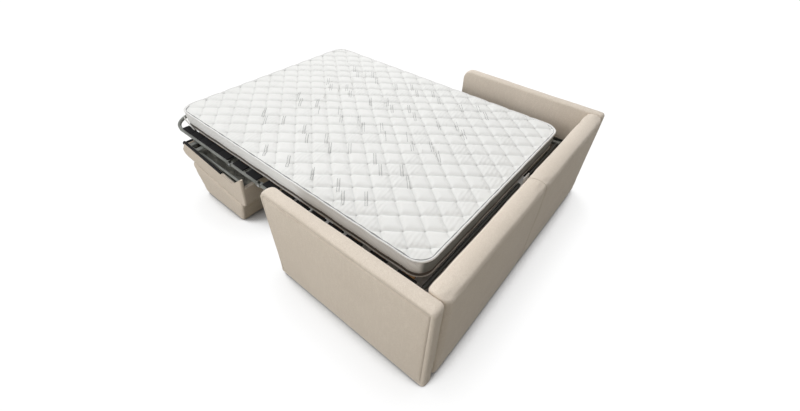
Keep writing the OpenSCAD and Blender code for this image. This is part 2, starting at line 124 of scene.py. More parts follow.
class MattressSettings(bpy.types.PropertyGroup):
    cell_width: length("Cell width", "Distance between quilting seams across the bed", 0.1255)
    cell_length: length("Cell length", "Distance between quilting seams along the bed", 0.148)
    cell_flat: length("Seam flat", "Short straight part of a seam between two cells", 0.022)
    cell_x: length("First cell across", "Place of one cell's middle across the bed", 0.402)
    cell_s: length("First cell along", "Place of one cell's middle, from the sofa's rear", 0.382)
    seam_depth: length("Seam depth", "How far the seams pull the ticking down", 0.0165)
    grid: length("Mesh step", "Distance between the points of the top", 0.005)
    ticking: colour("Ticking", "Colour of the quilted top", (0.83, 0.83, 0.81))
    border: colour("Border", "Colour of the side border", (0.86, 0.86, 0.85))
    band: colour("Mesh band", "Colour of the mesh round the lower side", (0.085, 0.07, 0.06))


class UpholsterySettings(bpy.types.PropertyGroup):
    light: colour("Light yarn", "Lighter yarn of the weave", (0.80, 0.715, 0.615))
    dark: colour("Dark yarn", "Darker yarn of the weave", (0.66, 0.57, 0.47))
    seam_in: length("Seam place", "Distance from an edge to the seam beside it", 0.024)
    stitch: length("Stitch pitch", "Distance between two stitches", 0.006)


class FrameSettings(bpy.types.PropertyGroup):
    paint: colour("Frame paint", "Grey-green paint of the tubes", (0.19, 0.197, 0.180))
    slat: colour("Slat wood", "Colour of the slats", (0.27, 0.145, 0.055))
    lining: colour("Lining", "Dark fabric inside the seat tray", (0.33, 0.325, 0.28))


class StageSettings(bpy.types.PropertyGroup):
    key: power("Key light", "Power of the large lamp overhead", 395)
    fill: power("Fill light", "Power of the lamp beside the camera", 92)
    near: power("Near side light", "Power of the small lamp above the near arm", 22)
    sky: FloatProperty(name="Room light", description="Strength of the light from all round", default=0.38)
    lift: FloatProperty(name="Floor lift", description="How far the open floor is lifted towards white",
                        default=0.72)
    floor: colour("Floor", "Colour of the floor", (0.94, 0.94, 0.94))


# Shader maths

def put(item, **values):
    """Gives an item's properties their values."""
    for key, value in values.items():
        setattr(item, key, value)
    return item


def join(tree, socket, item):
    """Gives a socket a link or a plain value."""
    item = item.socket if isinstance(item, Value) else item
    if hasattr(item, "is_output"):
        tree.links.new(item, socket)
    else:
        socket.default_value = item


def operator(operation, turned=False):
    """A method that adds a Math node, turned when the plain number stands first."""
    def method(self, other):
        return self.call(operation, other, turned=turned)
    return method


class Value:
    """A number in a shader, used in Python expressions; each operator adds a Math node."""
    __add__, __radd__ = operator("ADD"), operator("ADD", turned=True)
    __sub__, __rsub__ = operator("SUBTRACT"), operator("SUBTRACT", turned=True)
    __mul__, __rmul__ = operator("MULTIPLY"), operator("MULTIPLY", turned=True)
    __truediv__ = operator("DIVIDE")
    __mod__ = operator("FLOORED_MODULO")
    __gt__ = operator("GREATER_THAN")

    def __init__(self, tree, socket):
        self.tree, self.socket = tree, socket

    def __abs__(self):
        return self.call("ABSOLUTE")

    def call(self, operation, *others, turned=False):
        node = put(self.tree.nodes.new("ShaderNodeMath"), operation=operation)
        for socket, item in zip(node.inputs, (*others, self) if turned else (self, *others)):
            join(self.tree, socket, item)
        return Value(self.tree, node.outputs[0])

    def rise(self, low, high):
        """0 below low, 1 above high and smooth between them."""
        node = put(self.tree.nodes.new("ShaderNodeMapRange"), interpolation_type="SMOOTHSTEP")
        for socket, item in (("Value", self), ("From Min", low), ("From Max", high)):
            join(self.tree, node.inputs[socket], item)
        return Value(self.tree, node.outputs["Result"])


# Sums that a shader and the meshes share: each takes a shader's numbers or arrays

def larger(a, b):
    return a.call("MAXIMUM", b) if isinstance(a, Value) else np.maximum(a, b)


def root(a):
    return a.call("SQRT") if isinstance(a, Value) else np.sqrt(a)


def softly_least(a, b, reach):
    """The smaller of two numbers, with the change from one to the other rounded."""
    if isinstance(a, Value):
        return a.call("SMOOTH_MIN", b, reach)
    blend = np.maximum(reach - np.abs(a - b), 0) / reach
    return np.minimum(a, b) - blend ** 3 * reach / 6


# How far the corners of the quilted cells are rounded
CELL_ROUND = 0.009


def seam_distance(x, s):
    """Distance to the nearest quilting seam of the mattress's six-sided cells."""
    p = chosen("mattress")
    half_l, side = p.cell_length / 2, p.cell_width / 2
    mid = side - p.cell_flat / 2
    found = []
    for shift in (0.0, 0.5):
        across = abs(((x - p.cell_x) / p.cell_width + (0.5 - shift)) % 1 - 0.5) * p.cell_width
        along = abs(((s - p.cell_s) / p.cell_length + (0.5 - shift)) % 1 - 0.5) * p.cell_length
        slant = ((side - across) * half_l - along * mid) / math.hypot(half_l, mid)
        found.append(softly_least(half_l - along, slant, CELL_ROUND))
    return larger(*found)


def arm_inset(s, z):
    """Distance in from the outline of an arm's face."""
    mid_s, mid_z = ((a + b) / 2 for a, b in zip(ARM_LOW, ARM_HIGH))
    front, rear, bottom = ARM_RADII[:3]
    radius = (z > mid_z) * ((s > mid_s) * (front - rear) + (rear - bottom)) + bottom
    qs = abs(s - mid_s) - (ARM_HIGH[0] - ARM_LOW[0]) / 2 + radius
    qz = abs(z - mid_z) - (ARM_HIGH[1] - ARM_LOW[1]) / 2 + radius
    ps, pz, most = larger(qs, 0.0), larger(qz, 0.0), larger(qs, qz)
    return radius - root(ps * ps + pz * pz) - (most - larger(most, 0.0))


# Node trees

class Nodes:
    """A node tree that grows by one call for each node."""

    def __init__(self, tree):
        self.tree = tree

    def node(self, kind, settings=None, **values):
        """Adds a node, with settings for its properties and values or links for its sockets."""
        node = put(self.tree.nodes.new(kind), **(settings or {}))
        for socket, value in values.items():
            join(self.tree, node.inputs[socket.replace("_", " ")], value)
        return node

    def number(self, output, kind, settings=None, **values):
        """Adds a node and takes one of its outputs as a number."""
        return Value(self.tree, self.node(kind, settings, **values).outputs[output])

    def seen(self):
        """1 for the rays of the camera, of reflections and through glass, and 0 for those of soft light."""
        rays = self.node("ShaderNodeLightPath").outputs
        straight, mirrored, through = (Value(self.tree, rays["Is " + kind + " Ray"])
                                       for kind in ("Camera", "Glossy", "Transmission"))
        return straight.call("MAXIMUM", mirrored).call("MAXIMUM", through)

    def choice(self, amount, first, second):
        """Mixes two shaders."""
        node = self.node("ShaderNodeMixShader")
        for socket, item in zip(node.inputs, (amount, first.outputs[0], second.outputs[0])):
            join(self.tree, socket, item)
        return node


class Finish(Nodes):
    """A material with one Principled shader, whose constants sit on the shader's own sockets."""

    def __init__(self, name, **fixed):
        self.material = bpy.data.materials.new(name)
        self.material.use_nodes = True
        super().__init__(self.material.node_tree)
        self.shader = self.tree.nodes["Principled BSDF"]
        for socket, value in fixed.items():
            self.shader.inputs[socket.replace("_", " ")].default_value = value

    def place(self):
        return self.node("ShaderNodeTexCoord").outputs["Object"]

    def axes(self):
        split = self.node("ShaderNodeSeparateXYZ", Vector=self.place())
        return [Value(self.tree, split.outputs[i]) for i in range(3)]

    def stretched(self, x, y, z):
        return self.node("ShaderNodeMapping", Vector=self.place(), Scale=(x, y, z)).outputs[0]

    def noise(self, scale, detail=2.0, roughness=0.5, vector=None):
        return self.number("Fac", "ShaderNodeTexNoise", Vector=vector or self.place(), Scale=scale,
                           Detail=detail, Roughness=roughness)

    def cells(self, scale, vector=None):
        return self.number("Distance", "ShaderNodeTexVoronoi", Vector=vector or self.place(), Scale=scale)

    def mix(self, amount, first, second):
        node = self.node("ShaderNodeMix", {"data_type": "RGBA"})
        join(self.tree, node.inputs[0], amount)
        for socket, item in ((node.inputs[6], first), (node.inputs[7], second)):
            join(self.tree, socket, item if hasattr(item, "is_output") else (*item[:3], 1))
        return node.outputs[2]

    def feed(self, socket, item):
        join(self.tree, self.shader.inputs[socket], item)

    def close(self, colour, height, distance, strength):
        """Feeds the colour and the bump, and gives the material."""
        self.feed("Base Color", colour)
        self.feed("Normal", self.node("ShaderNodeBump", Strength=strength, Distance=distance,
                                      Height=height).outputs[0])
        return self.material


def scaled(rgb, k):
    return tuple(min(1.0, c * k) for c in rgb)


# Finishes

# Height of the tacks along the lower edge of the mattress's border
TACKS_Z = 0.4345
FINISHES = {}


def finish(name):
    """Looks up a finish, making it the first time."""
    if name not in FINISHES:
        FINISHES[name] = MAKERS[name]()
    return FINISHES[name]


def weave_finish(name):
    """The heathered cloth, with its colour and height kept for those who add to it."""
    p = chosen("upholstery")
    f = Finish(name, Roughness=0.86, Sheen_Weight=0.25, Sheen_Roughness=0.5)
    heather = f.noise(420, 2, 0.7)
    slub = f.noise(90, 2, 0.6, f.stretched(1, 1, 0.25))
    yarns = f.mix(heather.rise(0.34, 0.66), p.dark, p.light)
    worn = f.mix(slub.rise(0.45, 0.75) * 0.25, yarns, scaled(p.light, 1.1))
    f.base = f.mix(f.noise(3.2, 2).rise(0.3, 0.7) * 0.22, worn, scaled(p.dark, 0.9))
    f.height = f.cells(620) * 0.6 + heather * 0.5 + slub * 0.4
    f.feed("Roughness", heather * 0.12 + 0.8)
    return f


def make_upholstery():
    f = weave_finish("Heathered weave")
    return f.close(f.base, f.height, 0.0009, 0.5)


def make_arm_weave():
    """The weave with the seam of the arms drawn in it, beside the edge of their outer faces, and a painted
    highlight along the seam.
    """
    p = chosen("upholstery")
    f = weave_finish("Arm weave")
    x, y, z = f.axes()
    inset = arm_inset(REAR - y, z) - p.seam_in
    outer = abs(x) > (ARM[0][0] + ARM[1][0]) / 2
    line = outer * (1 - abs(inset).rise(0.0006, 0.0026))
    # A lighter strip beside the seam, towards the edge, is a painted highlight
    seam_highlight = outer * (1 - abs(inset + 0.0042).rise(0.0006, 0.0032))
    lit = f.mix(seam_highlight * 0.20, f.base, (0.95, 0.86, 0.75))
    return f.close(f.mix(line * 0.34, lit, scaled(p.dark, 0.42)), f.height - line * 1.5 + seam_highlight * 0.7,
                   0.0011, 0.6)


def speckled(name, flecks, low, high, grain, depth, strength, **fixed):
    """A plain finish of two close tones in fine flecks, with a finer grain."""
    f = Finish(name, **fixed)
    return f.close(f.mix(f.noise(*flecks), low, high), f.noise(*grain), depth, strength)


def make_thread():
    p = chosen("upholstery")
    return speckled("Upholstery thread", (900, 1), scaled(p.dark, 0.75), scaled(p.light, 0.9), (900, 1),
                    0.0004, 0.4, Roughness=0.7)


def make_lower_piping():
    return speckled("Lower piping", (300, 2), (0.38, 0.36, 0.33), (0.55, 0.53, 0.5), (700, 1),
                    0.0006, 0.5, Roughness=0.7)


def make_grey_thread():
    return speckled("Grey stitched line", (500, 1), (0.24, 0.245, 0.245), (0.36, 0.365, 0.365), (900, 1),
                    0.0004, 0.5, Roughness=0.65)


def make_edging():
    return speckled("Black edging", (400, 2), (0.006, 0.006, 0.007), (0.02, 0.02, 0.021), (800, 1),
                    0.0004, 0.6, Roughness=0.85, Specular_IOR_Level=0.2)


def make_ticking():
    p = chosen("mattress")
    f = Finish("Quilted ticking", Roughness=0.78, Sheen_Weight=0.15, Sheen_Roughness=0.4)
    x, y, z = f.axes()
    along = REAR - y
    far = seam_distance(x, along)
    knit = f.noise(520, 1, 0.5, f.stretched(1, 0.45, 1))
    patchy = f.noise(5.5, 1).rise(0.48, 0.6)
    ribs = ((along * 290 + x * 40).call("SINE") * 0.5 + 0.5) * patchy * far.rise(0.004, 0.015)
    # sewn darkens a thin line along each seam and fold the slopes beside it: a painted shade in the
    # quilting's grooves; sewn also sinks the bump
    sewn = 1 - far.rise(0.0005, 0.0040)
    fold = 1 - far.rise(0.001, 0.012)
    cloudy = f.noise(2.1, 1).rise(0.35, 0.75)
    shade = p.ticking
    for amount, tone in ((ribs * 0.5, 0.92), (fold * 0.3, 0.45), (sewn * 0.75, 0.42), (cloudy * 0.25, 0.94)):
        shade = f.mix(amount, shade, scaled(p.ticking, tone))
    return f.close(shade, knit * 0.25 + ribs * 1.3 - sewn * 1.6, 0.0011, 0.7)


def make_piping():
    f = Finish("Ruffled tape", Roughness=0.7, Base_Color=(0.8, 0.79, 0.77, 1))
    x, y, z = f.axes()
    ruffle = ((x + y * 1.02) * 520).call("SINE") * 0.5 + f.noise(160, 2)
    colour = f.mix(ruffle.rise(0.1, 1.1), (0.78, 0.775, 0.76), (0.88, 0.875, 0.86))
    return f.close(colour, ruffle, 0.0012, 0.5)


def make_border():
    p = chosen("mattress")
    f = Finish("Border fabric", Roughness=0.82, Sheen_Weight=0.15)
    x, y, z = f.axes()
    curl = f.number("Fac", "ShaderNodeTexWave", {"wave_type": "RINGS", "rings_direction": "SPHERICAL"},
                    Vector=f.stretched(5.8, 5.8, 9), Scale=1.1, Distortion=5.0, Detail=1.0)
    sewn = 1 - abs(curl - 0.5).rise(0.02, 0.1)
    weave = f.noise(480, 2)
    tone = f.mix(weave.rise(0.3, 0.7), scaled(p.border, 0.94), p.border)
    tone = f.mix(sewn * 0.3, tone, scaled(p.border, 0.55))
    # Small dark tacks hold the border along its lower edge
    beside = abs(((y + x) * 14) % 1 - 0.5).rise(0.03, 0.07)
    above = abs(z - TACKS_Z).rise(0.0015, 0.0045)
    tone = f.mix(1 - larger(beside, above), tone, (0.06, 0.055, 0.05))
    # The head end is painted far darker than the rest of the border: a painted shade on the end that faces
    # away from the light
    head = y.rise(BED[1][1] - 0.036, BED[1][1] - 0.016)
    return f.close(f.mix(head * 0.88, tone, (0.088, 0.094, 0.084)), weave * 0.3 - sewn, 0.0012, 0.6)


def make_band():
    p = chosen("mattress")
    f = Finish("Mesh band", Roughness=0.6)
    x, y, z = f.axes()
    ribs = ((x + y - z * 0.8) * 900).call("SINE") * 0.5 + 0.5
    return f.close(f.mix(ribs, scaled(p.band, 0.6), scaled(p.band, 1.5)), ribs, 0.001, 0.7)


def make_lining():
    p = chosen("frame")
    f = Finish("Quilted lining", Roughness=0.8, Sheen_Weight=0.2)
    x, y, z = f.axes()
    first, second = (abs((diagonal * 11) % 1 - 0.5) for diagonal in (x + y, x - y))
    sewn = 1 - first.call("MINIMUM", second).rise(0.0, 0.08)
    crease = f.noise(24, 3, 0.6, f.stretched(1, 0.35, 1))
    # Lighter crests and darker hollows follow the creases: painted light and shade on the lining
    return f.close(f.mix(crease.rise(0.35, 0.7), scaled(p.lining, 0.6), scaled(p.lining, 1.7)),
                   crease * 1.2 - sewn * 0.6 + f.noise(500, 1) * 0.06, 0.006, 0.8)


def painted(name, share):
    """The frame's paint, or a darker one that has this share of its brightness."""
    colour = scaled(chosen("frame").paint, share)
    f = Finish(name, Roughness=0.4, Coat_Weight=0.1)
    cloud = f.noise(14, 3)
    chips = f.noise(130, 2, 0.7).rise(0.72, 0.76)
    base = f.mix(cloud.rise(0.3, 0.7), scaled(colour, 0.85), scaled(colour, 1.2))
    f.feed("Roughness", cloud * 0.2 + 0.3)
    return f.close(f.mix(chips * 0.5, base, scaled(colour, 1.9)), f.noise(700, 2), 0.0003, 0.3)


def make_zinc():
    f = Finish("Zinc", Metallic=0.9, Roughness=0.35)
    spangle = f.cells(190)
    f.feed("Roughness", spangle * 0.25 + 0.26)
    return f.close(f.mix(spangle, (0.42, 0.43, 0.44), (0.62, 0.63, 0.64)), f.noise(400, 2), 0.0002, 0.3)


def make_slat_wood():
    p = chosen("frame")
    f = Finish("Slat wood", Roughness=0.42, Coat_Weight=0.2)
    grain = f.noise(30, 4, 0.6, f.stretched(0.12, 1.6, 1.6))
    f.feed("Roughness", grain * 0.2 + 0.35)
    colour = f.mix(grain.rise(0.35, 0.65), scaled(p.slat, 0.7), scaled(p.slat, 1.25))
    return f.close(colour, grain, 0.0005, 0.4)


def make_board():
    f = Finish("Raw board", Roughness=0.8)
    flakes = f.cells(160, f.stretched(1, 1, 2.2))
    return f.close(f.mix(flakes.rise(0.1, 0.6), (0.30, 0.20, 0.11), (0.50, 0.37, 0.22)), flakes, 0.0006, 0.5)


def make_foam():
    f = Finish("Foam", Roughness=0.9)
    pores = f.cells(700)
    return f.close(f.mix(pores, (0.62, 0.58, 0.42), (0.74, 0.70, 0.54)), pores, 0.0006, 0.5)


def plastic(name, low, high):
    f = Finish(name, Roughness=0.45)
    grain = f.noise(600, 2)
    f.feed("Roughness", grain * 0.15 + 0.38)
    return f.close(f.mix(grain, low, high), grain, 0.0003, 0.4)


def make_webbing():
    f = Finish("White webbing", Roughness=0.75)
    x, y, z = f.axes()
    rib = ((y + z) * 1500).call("SINE") * 0.5 + 0.5
    return f.close(f.mix(rib, (0.70, 0.69, 0.66), (0.86, 0.85, 0.83)), rib, 0.0005, 0.6)


MAKERS = {
    "upholstery": make_upholstery, "arm_weave": make_arm_weave, "thread": make_thread,
    "ticking": make_ticking, "piping": make_piping, "border": make_border, "band": make_band,
    "lower_piping": make_lower_piping, "grey_thread": make_grey_thread, "lining": make_lining,
    "edging": make_edging, "zinc": make_zinc, "slat_wood": make_slat_wood, "board": make_board,
    "foam": make_foam, "webbing": make_webbing,
    "paint": lambda: painted("Frame paint", 1.0),
    # The base's paint is darkened to a painted shade
    "shade_darkened_paint": lambda: painted("Dark base paint", 0.16),
    "black_plastic": lambda: plastic("Black plastic", (0.012, 0.012, 0.013), (0.022, 0.022, 0.023)),
    "white_plastic": lambda: plastic("White plastic", (0.72, 0.72, 0.70), (0.82, 0.82, 0.80)),
    "clip": lambda: plastic("Clip plastic", (0.90, 0.90, 0.89), (0.95, 0.95, 0.94)),
}


# Mesh helpers

def new_object(name, mesh):
    piece = bpy.data.objects.new(name, mesh)
    bpy.context.scene.collection.objects.link(piece)
    return piece


def plain_object(name, points, edges=(), faces=()):
    mesh = bpy.data.meshes.new(name)
    mesh.from_pydata(points, edges, faces)
    return new_object(name, mesh)


def settle(bm, name, finishes):
    """Turns a bmesh into a smooth-shaded object at the origin."""
    bmesh.ops.recalc_face_normals(bm, faces=bm.faces)
    for face in bm.faces:
        face.smooth = True
    mesh = bpy.data.meshes.new(name)
    bm.to_mesh(mesh)
    bm.free()
    for item in finishes:
        mesh.materials.append(finish(item))
    return new_object(name, mesh)


def bake(piece):
    """Applies the piece's modifiers by taking the evaluated mesh."""
    graph = bpy.context.evaluated_depsgraph_get()
    mesh = bpy.data.meshes.new_from_object(piece.evaluated_get(graph))
    old = piece.data
    piece.modifiers.clear()
    piece.data = mesh
    mesh.name = piece.name
    if isinstance(old, bpy.types.Mesh):
        bpy.data.meshes.remove(old)
    return piece


def fillet(points, radius):
    """Rounds every corner of a closed outline, in four parts."""
    out = []
    parts = 4
    n = len(points)
    for i in range(n):
        a, b, c = (np.array(points[(i + k) % n], float) for k in (-1, 0, 1))
        u, v = (a - b) / np.linalg.norm(a - b), (c - b) / np.linalg.norm(c - b)
        bend = math.acos(max(-1, min(1, float(u @ v))))
        reach = min(radius / math.tan(bend / 2), 0.45 * np.linalg.norm(a - b), 0.45 * np.linalg.norm(c - b))
        p, q = b + u * reach, b + v * reach
        for k in range(parts + 1):
            t = k / parts
            out.append(tuple((1 - t) ** 2 * p + 2 * t * (1 - t) * b + t ** 2 * q))
    return out


def between(a, b, t):
    """The place at share t of the way from a to b."""
    return tuple(p + (q - p) * t for p, q in zip(a, b))


def resample(points, step):
    """Adds points to the long sides of a closed outline."""
    out = []
    for a, b in zip(points, points[1:] + points[:1]):
        gap = math.dist(a, b)
        parts = max(1, round(gap / step))
        out += [between(a, b, k / parts) for k in range(parts) if gap > 1e-6]
    return out


def drawn_in(points, amount):
    """Moves each point of a closed outline inwards along its own normal."""
    area = sum(a[0] * b[1] - b[0] * a[1] for a, b in zip(points, points[1:] + points[:1]))
    amount *= math.copysign(1, area)
    out = []
    for before, (a, b), after in zip(points[-1:] + points, points, points[1:] + points[:1]):
        da, db = after[0] - before[0], after[1] - before[1]
        run = math.hypot(da, db)
        out.append((a - db / run * amount, b + da / run * amount))
    return out


def bridge(bm, first, second, closed=True):
    """Joins two rows of points by a strip of faces."""
    n = len(first)
    for i in range(n if closed else n - 1):
        j = (i + 1) % n
        bm.faces.new((first[i], first[j], second[j], second[i]))


def skin(bm, rings):
    """Joins rings of points into one closed form."""
    for a, b in zip(rings, rings[1:]):
        bridge(bm, a, b)
    bm.faces.new(rings[0])
    bm.faces.new(rings[-1])


def prism(name, outline, x0, x1):
    """A block with flat ends: an outline in (s, z) from x0 to x1."""
    bm = bmesh.new()
    rings = [[bm.verts.new((x, REAR - s, z)) for s, z in outline] for x in (x0, x1)]
    skin(bm, rings)
    return settle(bm, name, [])


def cut(piece, *cutters):
    """Takes the cutters out of a piece, and away from the scene."""
    for cutter in cutters:
        put(piece.modifiers.new("Cut", "BOOLEAN"), operation="DIFFERENCE", solver="EXACT", object=cutter)
    bake(piece)
    for cutter in cutters:
        bpy.data.objects.remove(cutter)
    return piece


def tube(name, paths, radius, item, sides=8):
    """Round tubes along paths, each with closed ends."""
    bm = bmesh.new()
    for path in paths:
        points = [Vector(p) for p in path]
        rings = []
        side = None
        for i, p in enumerate(points):
            along = (points[min(i + 1, len(points) - 1)] - points[max(i - 1, 0)]).normalized()
            start = side if side is not None else Vector((0, 0, 1))
            side = start - along * start.dot(along)
            if side.length < 1e-4:
                side = along.orthogonal()
            side.normalize()
            across = along.cross(side)
            rings.append([bm.verts.new(p + radius * (math.cos(a) * side + math.sin(a) * across))
                          for a in (2 * math.pi * k / sides for k in range(sides))])
        skin(bm, rings)
    return settle(bm, name, [item])


def as_array(items, name):
    """One vector of each item, as rows of an array."""
    values = np.empty(len(items) * 3)
    items.foreach_get(name, values)
    return values.reshape(-1, 3)


def filled(piece, voxel, cap, held, floor):
    """Fills a padded piece by cloth simulation: points that held() picks stay, and none moves past cap."""
    put(piece.modifiers.new("Even mesh", "REMESH"), mode="VOXEL", voxel_size=voxel, use_smooth_shade=True)
    bake(piece)
    start = as_array(piece.data.vertices, "co")
    group = piece.vertex_groups.new(name="held")
    group.add([int(i) for i in np.flatnonzero(held(start))], 1.0, "REPLACE")
    cloth = piece.modifiers.new("Cloth", "CLOTH")
    put(cloth.settings, quality=4, mass=0.3, tension_stiffness=12, compression_stiffness=12,
        bending_stiffness=0.4, shrink_min=-0.013, use_pressure=True, uniform_pressure_force=4,
        vertex_group_mass="held")
    cloth.settings.effector_weights.gravity = 0
    put(cloth.point_cache, frame_start=1, frame_end=20)
    for step in range(1, 21):
        bpy.context.scene.frame_set(step)
    bake(piece)
    mesh = piece.data
    move = as_array(mesh.vertices, "co") - start
    size = np.linalg.norm(move, axis=1, keepdims=True)
    end = start + move * np.minimum(1, cap / np.maximum(size, 1e-9))
    end[:, 2] = np.maximum(end[:, 2], floor)
    mesh.vertices.foreach_set("co", end.ravel())
    mesh.update()
    bpy.context.scene.frame_set(1)
    put(piece.modifiers.new("Finer", "SUBSURF"), levels=1, render_levels=1)
    bake(piece)
    for face in piece.data.polygons:
        face.use_smooth = True


def along_normals(piece, amount):
    """Moves each point along its normal by what amount() gives for the points, as arrays."""
    mesh = piece.data
    mesh.update()
    places, normals = as_array(mesh.vertices, "co"), as_array(mesh.vertex_normals, "vector")
    places = places + normals * amount(places, normals)[:, None]
    mesh.vertices.foreach_set("co", places.ravel())
    mesh.update()


def smooth_path(points, count):
    """Evenly spaced points along a path of straight parts, with its corners softened."""
    pts = np.array(points, float)
    for _ in range(3):
        mid = (pts[1:] + pts[:-1]) / 2
        quarter = np.empty((2 * len(mid), pts.shape[1]))
        quarter[0::2] = 0.75 * pts[:-1] + 0.25 * pts[1:]
        quarter[1::2] = 0.25 * pts[:-1] + 0.75 * pts[1:]
        pts = np.vstack([pts[:1], quarter, pts[-1:]])
    gaps = np.r_[0, np.cumsum(np.linalg.norm(np.diff(pts, axis=0), axis=1))]
    t = np.linspace(0, gaps[-1], count)
    return [tuple(float(np.interp(a, gaps, pts[:, k])) for k in range(pts.shape[1])) for a in t]


def longest_run(points):
    """The longest stretch of a path with no jump in it."""
    runs, run = [], [points[0]]
    for a, b in zip(points, points[1:]):
        if math.dist(a, b) > 0.03:
            runs.append(run)
            run = []
        run.append(b)
    runs.append(run)
    if math.dist(points[0], points[-1]) < 0.03 and len(runs) > 1:
        runs[0] = runs.pop() + runs[0]
    return max(runs, key=len)


def shade_by_angle(piece):
    """Shades a piece smooth, with its sharper edges left crisp."""
    mesh = piece.data
    for face in mesh.polygons:
        face.use_smooth = True
    bm = bmesh.new()
    bm.from_mesh(mesh)
    limit = math.radians(38)
    for edge in bm.edges:
        edge.smooth = len(edge.link_faces) == 2 and edge.calc_face_angle(0) < limit
    bm.to_mesh(mesh)
    bm.free()


# Geometry nodes

class Rule(Nodes):
    """A geometry node group with named inputs, which ends by giving its shapes one finish."""

    def __init__(self, name, *inputs):
        super().__init__(bpy.data.node_groups.new(name, "GeometryNodeTree"))
        face = self.tree.interface
        face.new_socket("Geometry", in_out="OUTPUT", socket_type="NodeSocketGeometry")
        face.new_socket("Geometry", in_out="INPUT", socket_type="NodeSocketGeometry")
        for label in inputs:
            face.new_socket(label, in_out="INPUT", socket_type="NodeSocketFloat")
        self.given = self.node("NodeGroupInput").outputs

    def applied(self, piece, item, placed, **values):
        """Finishes the group, gives its named inputs their values and turns all into plain mesh."""
        real = self.node("GeometryNodeRealizeInstances", Geometry=placed.outputs[0])
        done = self.node("GeometryNodeSetMaterial", Geometry=real.outputs[0], Material=finish(item))
        join(self.tree, self.node("NodeGroupOutput").inputs[0], done.outputs[0])
        modifier = put(piece.modifiers.new("Rule", "NODES"), node_group=self.tree)
        for socket in self.tree.interface.items_tree:
            if socket.name in values:
                modifier[socket.identifier] = values[socket.name]
        return bake(piece)


def stitches(name, paths, item, pitch, size, radius):
    """A row of short stitches along each path."""
    verts, edges = [], []
    for path in paths:
        edges += [(len(verts) + i, len(verts) + i + 1) for i in range(len(path) - 1)]
        verts += [tuple(p) for p in path]
    rule = Rule(name + "_rule", "Pitch", "Length", "Radius")
    curve = rule.node("GeometryNodeMeshToCurve", Mesh=rule.given["Geometry"])
    spaced = rule.node("GeometryNodeResampleCurve", {"mode": "LENGTH"}, Curve=curve.outputs[0],
                       Length=rule.given["Pitch"])
    tangent = rule.node("GeometryNodeInputTangent")
    turn = rule.node("FunctionNodeAlignRotationToVector", {"axis": "Z"}, Vector=tangent.outputs[0])
    one = rule.node("GeometryNodeMeshCylinder", {"fill_type": "NGON"}, Vertices=6,
                    Radius=rule.given["Radius"], Depth=rule.given["Length"])
    placed = rule.node("GeometryNodeInstanceOnPoints", Points=spaced.outputs[0],
                       Instance=one.outputs["Mesh"], Rotation=turn.outputs[0])
    return rule.applied(plain_object(name, verts, edges), item, placed, Pitch=pitch, Length=size,
                        Radius=radius)


def belongs(body, slot, *items):
    """Says which body each piece moves with; the slot is not used."""
    for item in items:
        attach(item, body)


def stuffed(piece, fill, *nodes):
    """Hides the solids that a padded piece stands for; the fill is not used."""
    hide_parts(*nodes)


# Mattress

EDGE_IN = 0.012
CORNER = 0.086
# Height of the quilted top at its edges, and how much higher it swells in the middle
TOP_Z = 0.5128
SWELL = 0.0062
# The stitched pairs stop at this distance from the sofa's rear
STITCHED_FROM = 0.52
BED_FINISHES = ["ticking", "piping", "border", "band", "lower_piping", "grey_thread", "foam"]
# The side of the mattress from the top edge down: finish, and points (distance in from the side, height)
SIDE = [
    ("grey_thread", [(0.0102, 0.5096), (0.0088, 0.5098)]),
    ("piping", [(0.0056, 0.5148), (0.0012, 0.5152), (-0.0018, 0.5128), (-0.0028, 0.5090), (-0.0014, 0.5052)]),
    ("grey_thread", [(0.0042, 0.5034), (0.0034, 0.5000)]),
    ("border", [(0.0010, 0.4900), (0.0, 0.4755), (0.0010, 0.4520), (0.0034, TACKS_Z), (0.0066, 0.4305)]),
    ("band", [(0.0050, 0.4280), (0.0036, 0.4200), (0.0056, 0.4122), (0.0075, 0.4110)]),
    ("lower_piping", [(0.0040, 0.4095), (0.0026, 0.4068), (0.0060, 0.4040)]),
    ("band", [(0.0220, 0.4036)])]
PROFILE = [(inset, height, BED_FINISHES.index(item)) for item, points in SIDE for inset, height in points]


def quilting(x, s):
    """How far the seams pull the top down at points (x, s), as arrays."""
    away = np.clip(seam_distance(x, s) / 0.048, 0, 1)
    return -chosen("mattress").seam_depth * (1 - away) ** 3.1


def top_height(x, s):
    """Height of the quilted top at points (x, s), as arrays."""
    half_w = BED[1][0]
    s0, s1 = REAR - BED[1][1], REAR - BED[0][1]
    mid, half_l = (s0 + s1) / 2, (s1 - s0) / 2
    across = 1 - (np.abs(x) / half_w) ** 4
    along = 1 - (np.abs(s - mid) / half_l) ** 4
    edge = np.minimum(half_w - np.abs(x), half_l - np.abs(s - mid)) - EDGE_IN
    calm = np.clip(edge / 0.020, 0, 1) ** 0.6
    slow = 0.0009 * np.sin(x * 7.3 + 1.1) * np.sin(s * 5.1) + 0.0006 * np.sin(x * 17 + s * 13)
    base = TOP_Z + SWELL * np.clip(across * along, 0, 1) ** 0.7
    return base + slow * calm + quilting(x, s) * (0.3 + 0.7 * calm)


def bed_rows(s0, s1, head, foot):
    """Rows across a stretch of the mattress: (s, half width, (angle of the edge, -1 rear or 1 front))."""
    wide = BED[1][0] - EDGE_IN
    radius = CORNER - EDGE_IN
    first = s0 + (EDGE_IN + radius) * head
    last = s1 - (EDGE_IN + radius) * foot
    turns = [math.radians(a) for a in (90, 84, 77, 70, 62, 54, 46, 38, 30, 22, 14, 7)]

    def corner(middle, way):
        """Rows round the two corners at one end."""
        return [(middle + way * radius * math.sin(a), wide - radius + radius * math.cos(a), (a, way))
                for a in turns]
    count = round((last - first) / chosen("mattress").grid)
    straight = [(first + (last - first) * i / count, wide, (0, 1)) for i in range(count + 1)]
    return corner(first, -1) * head + straight + corner(last, 1)[::-1] * foot


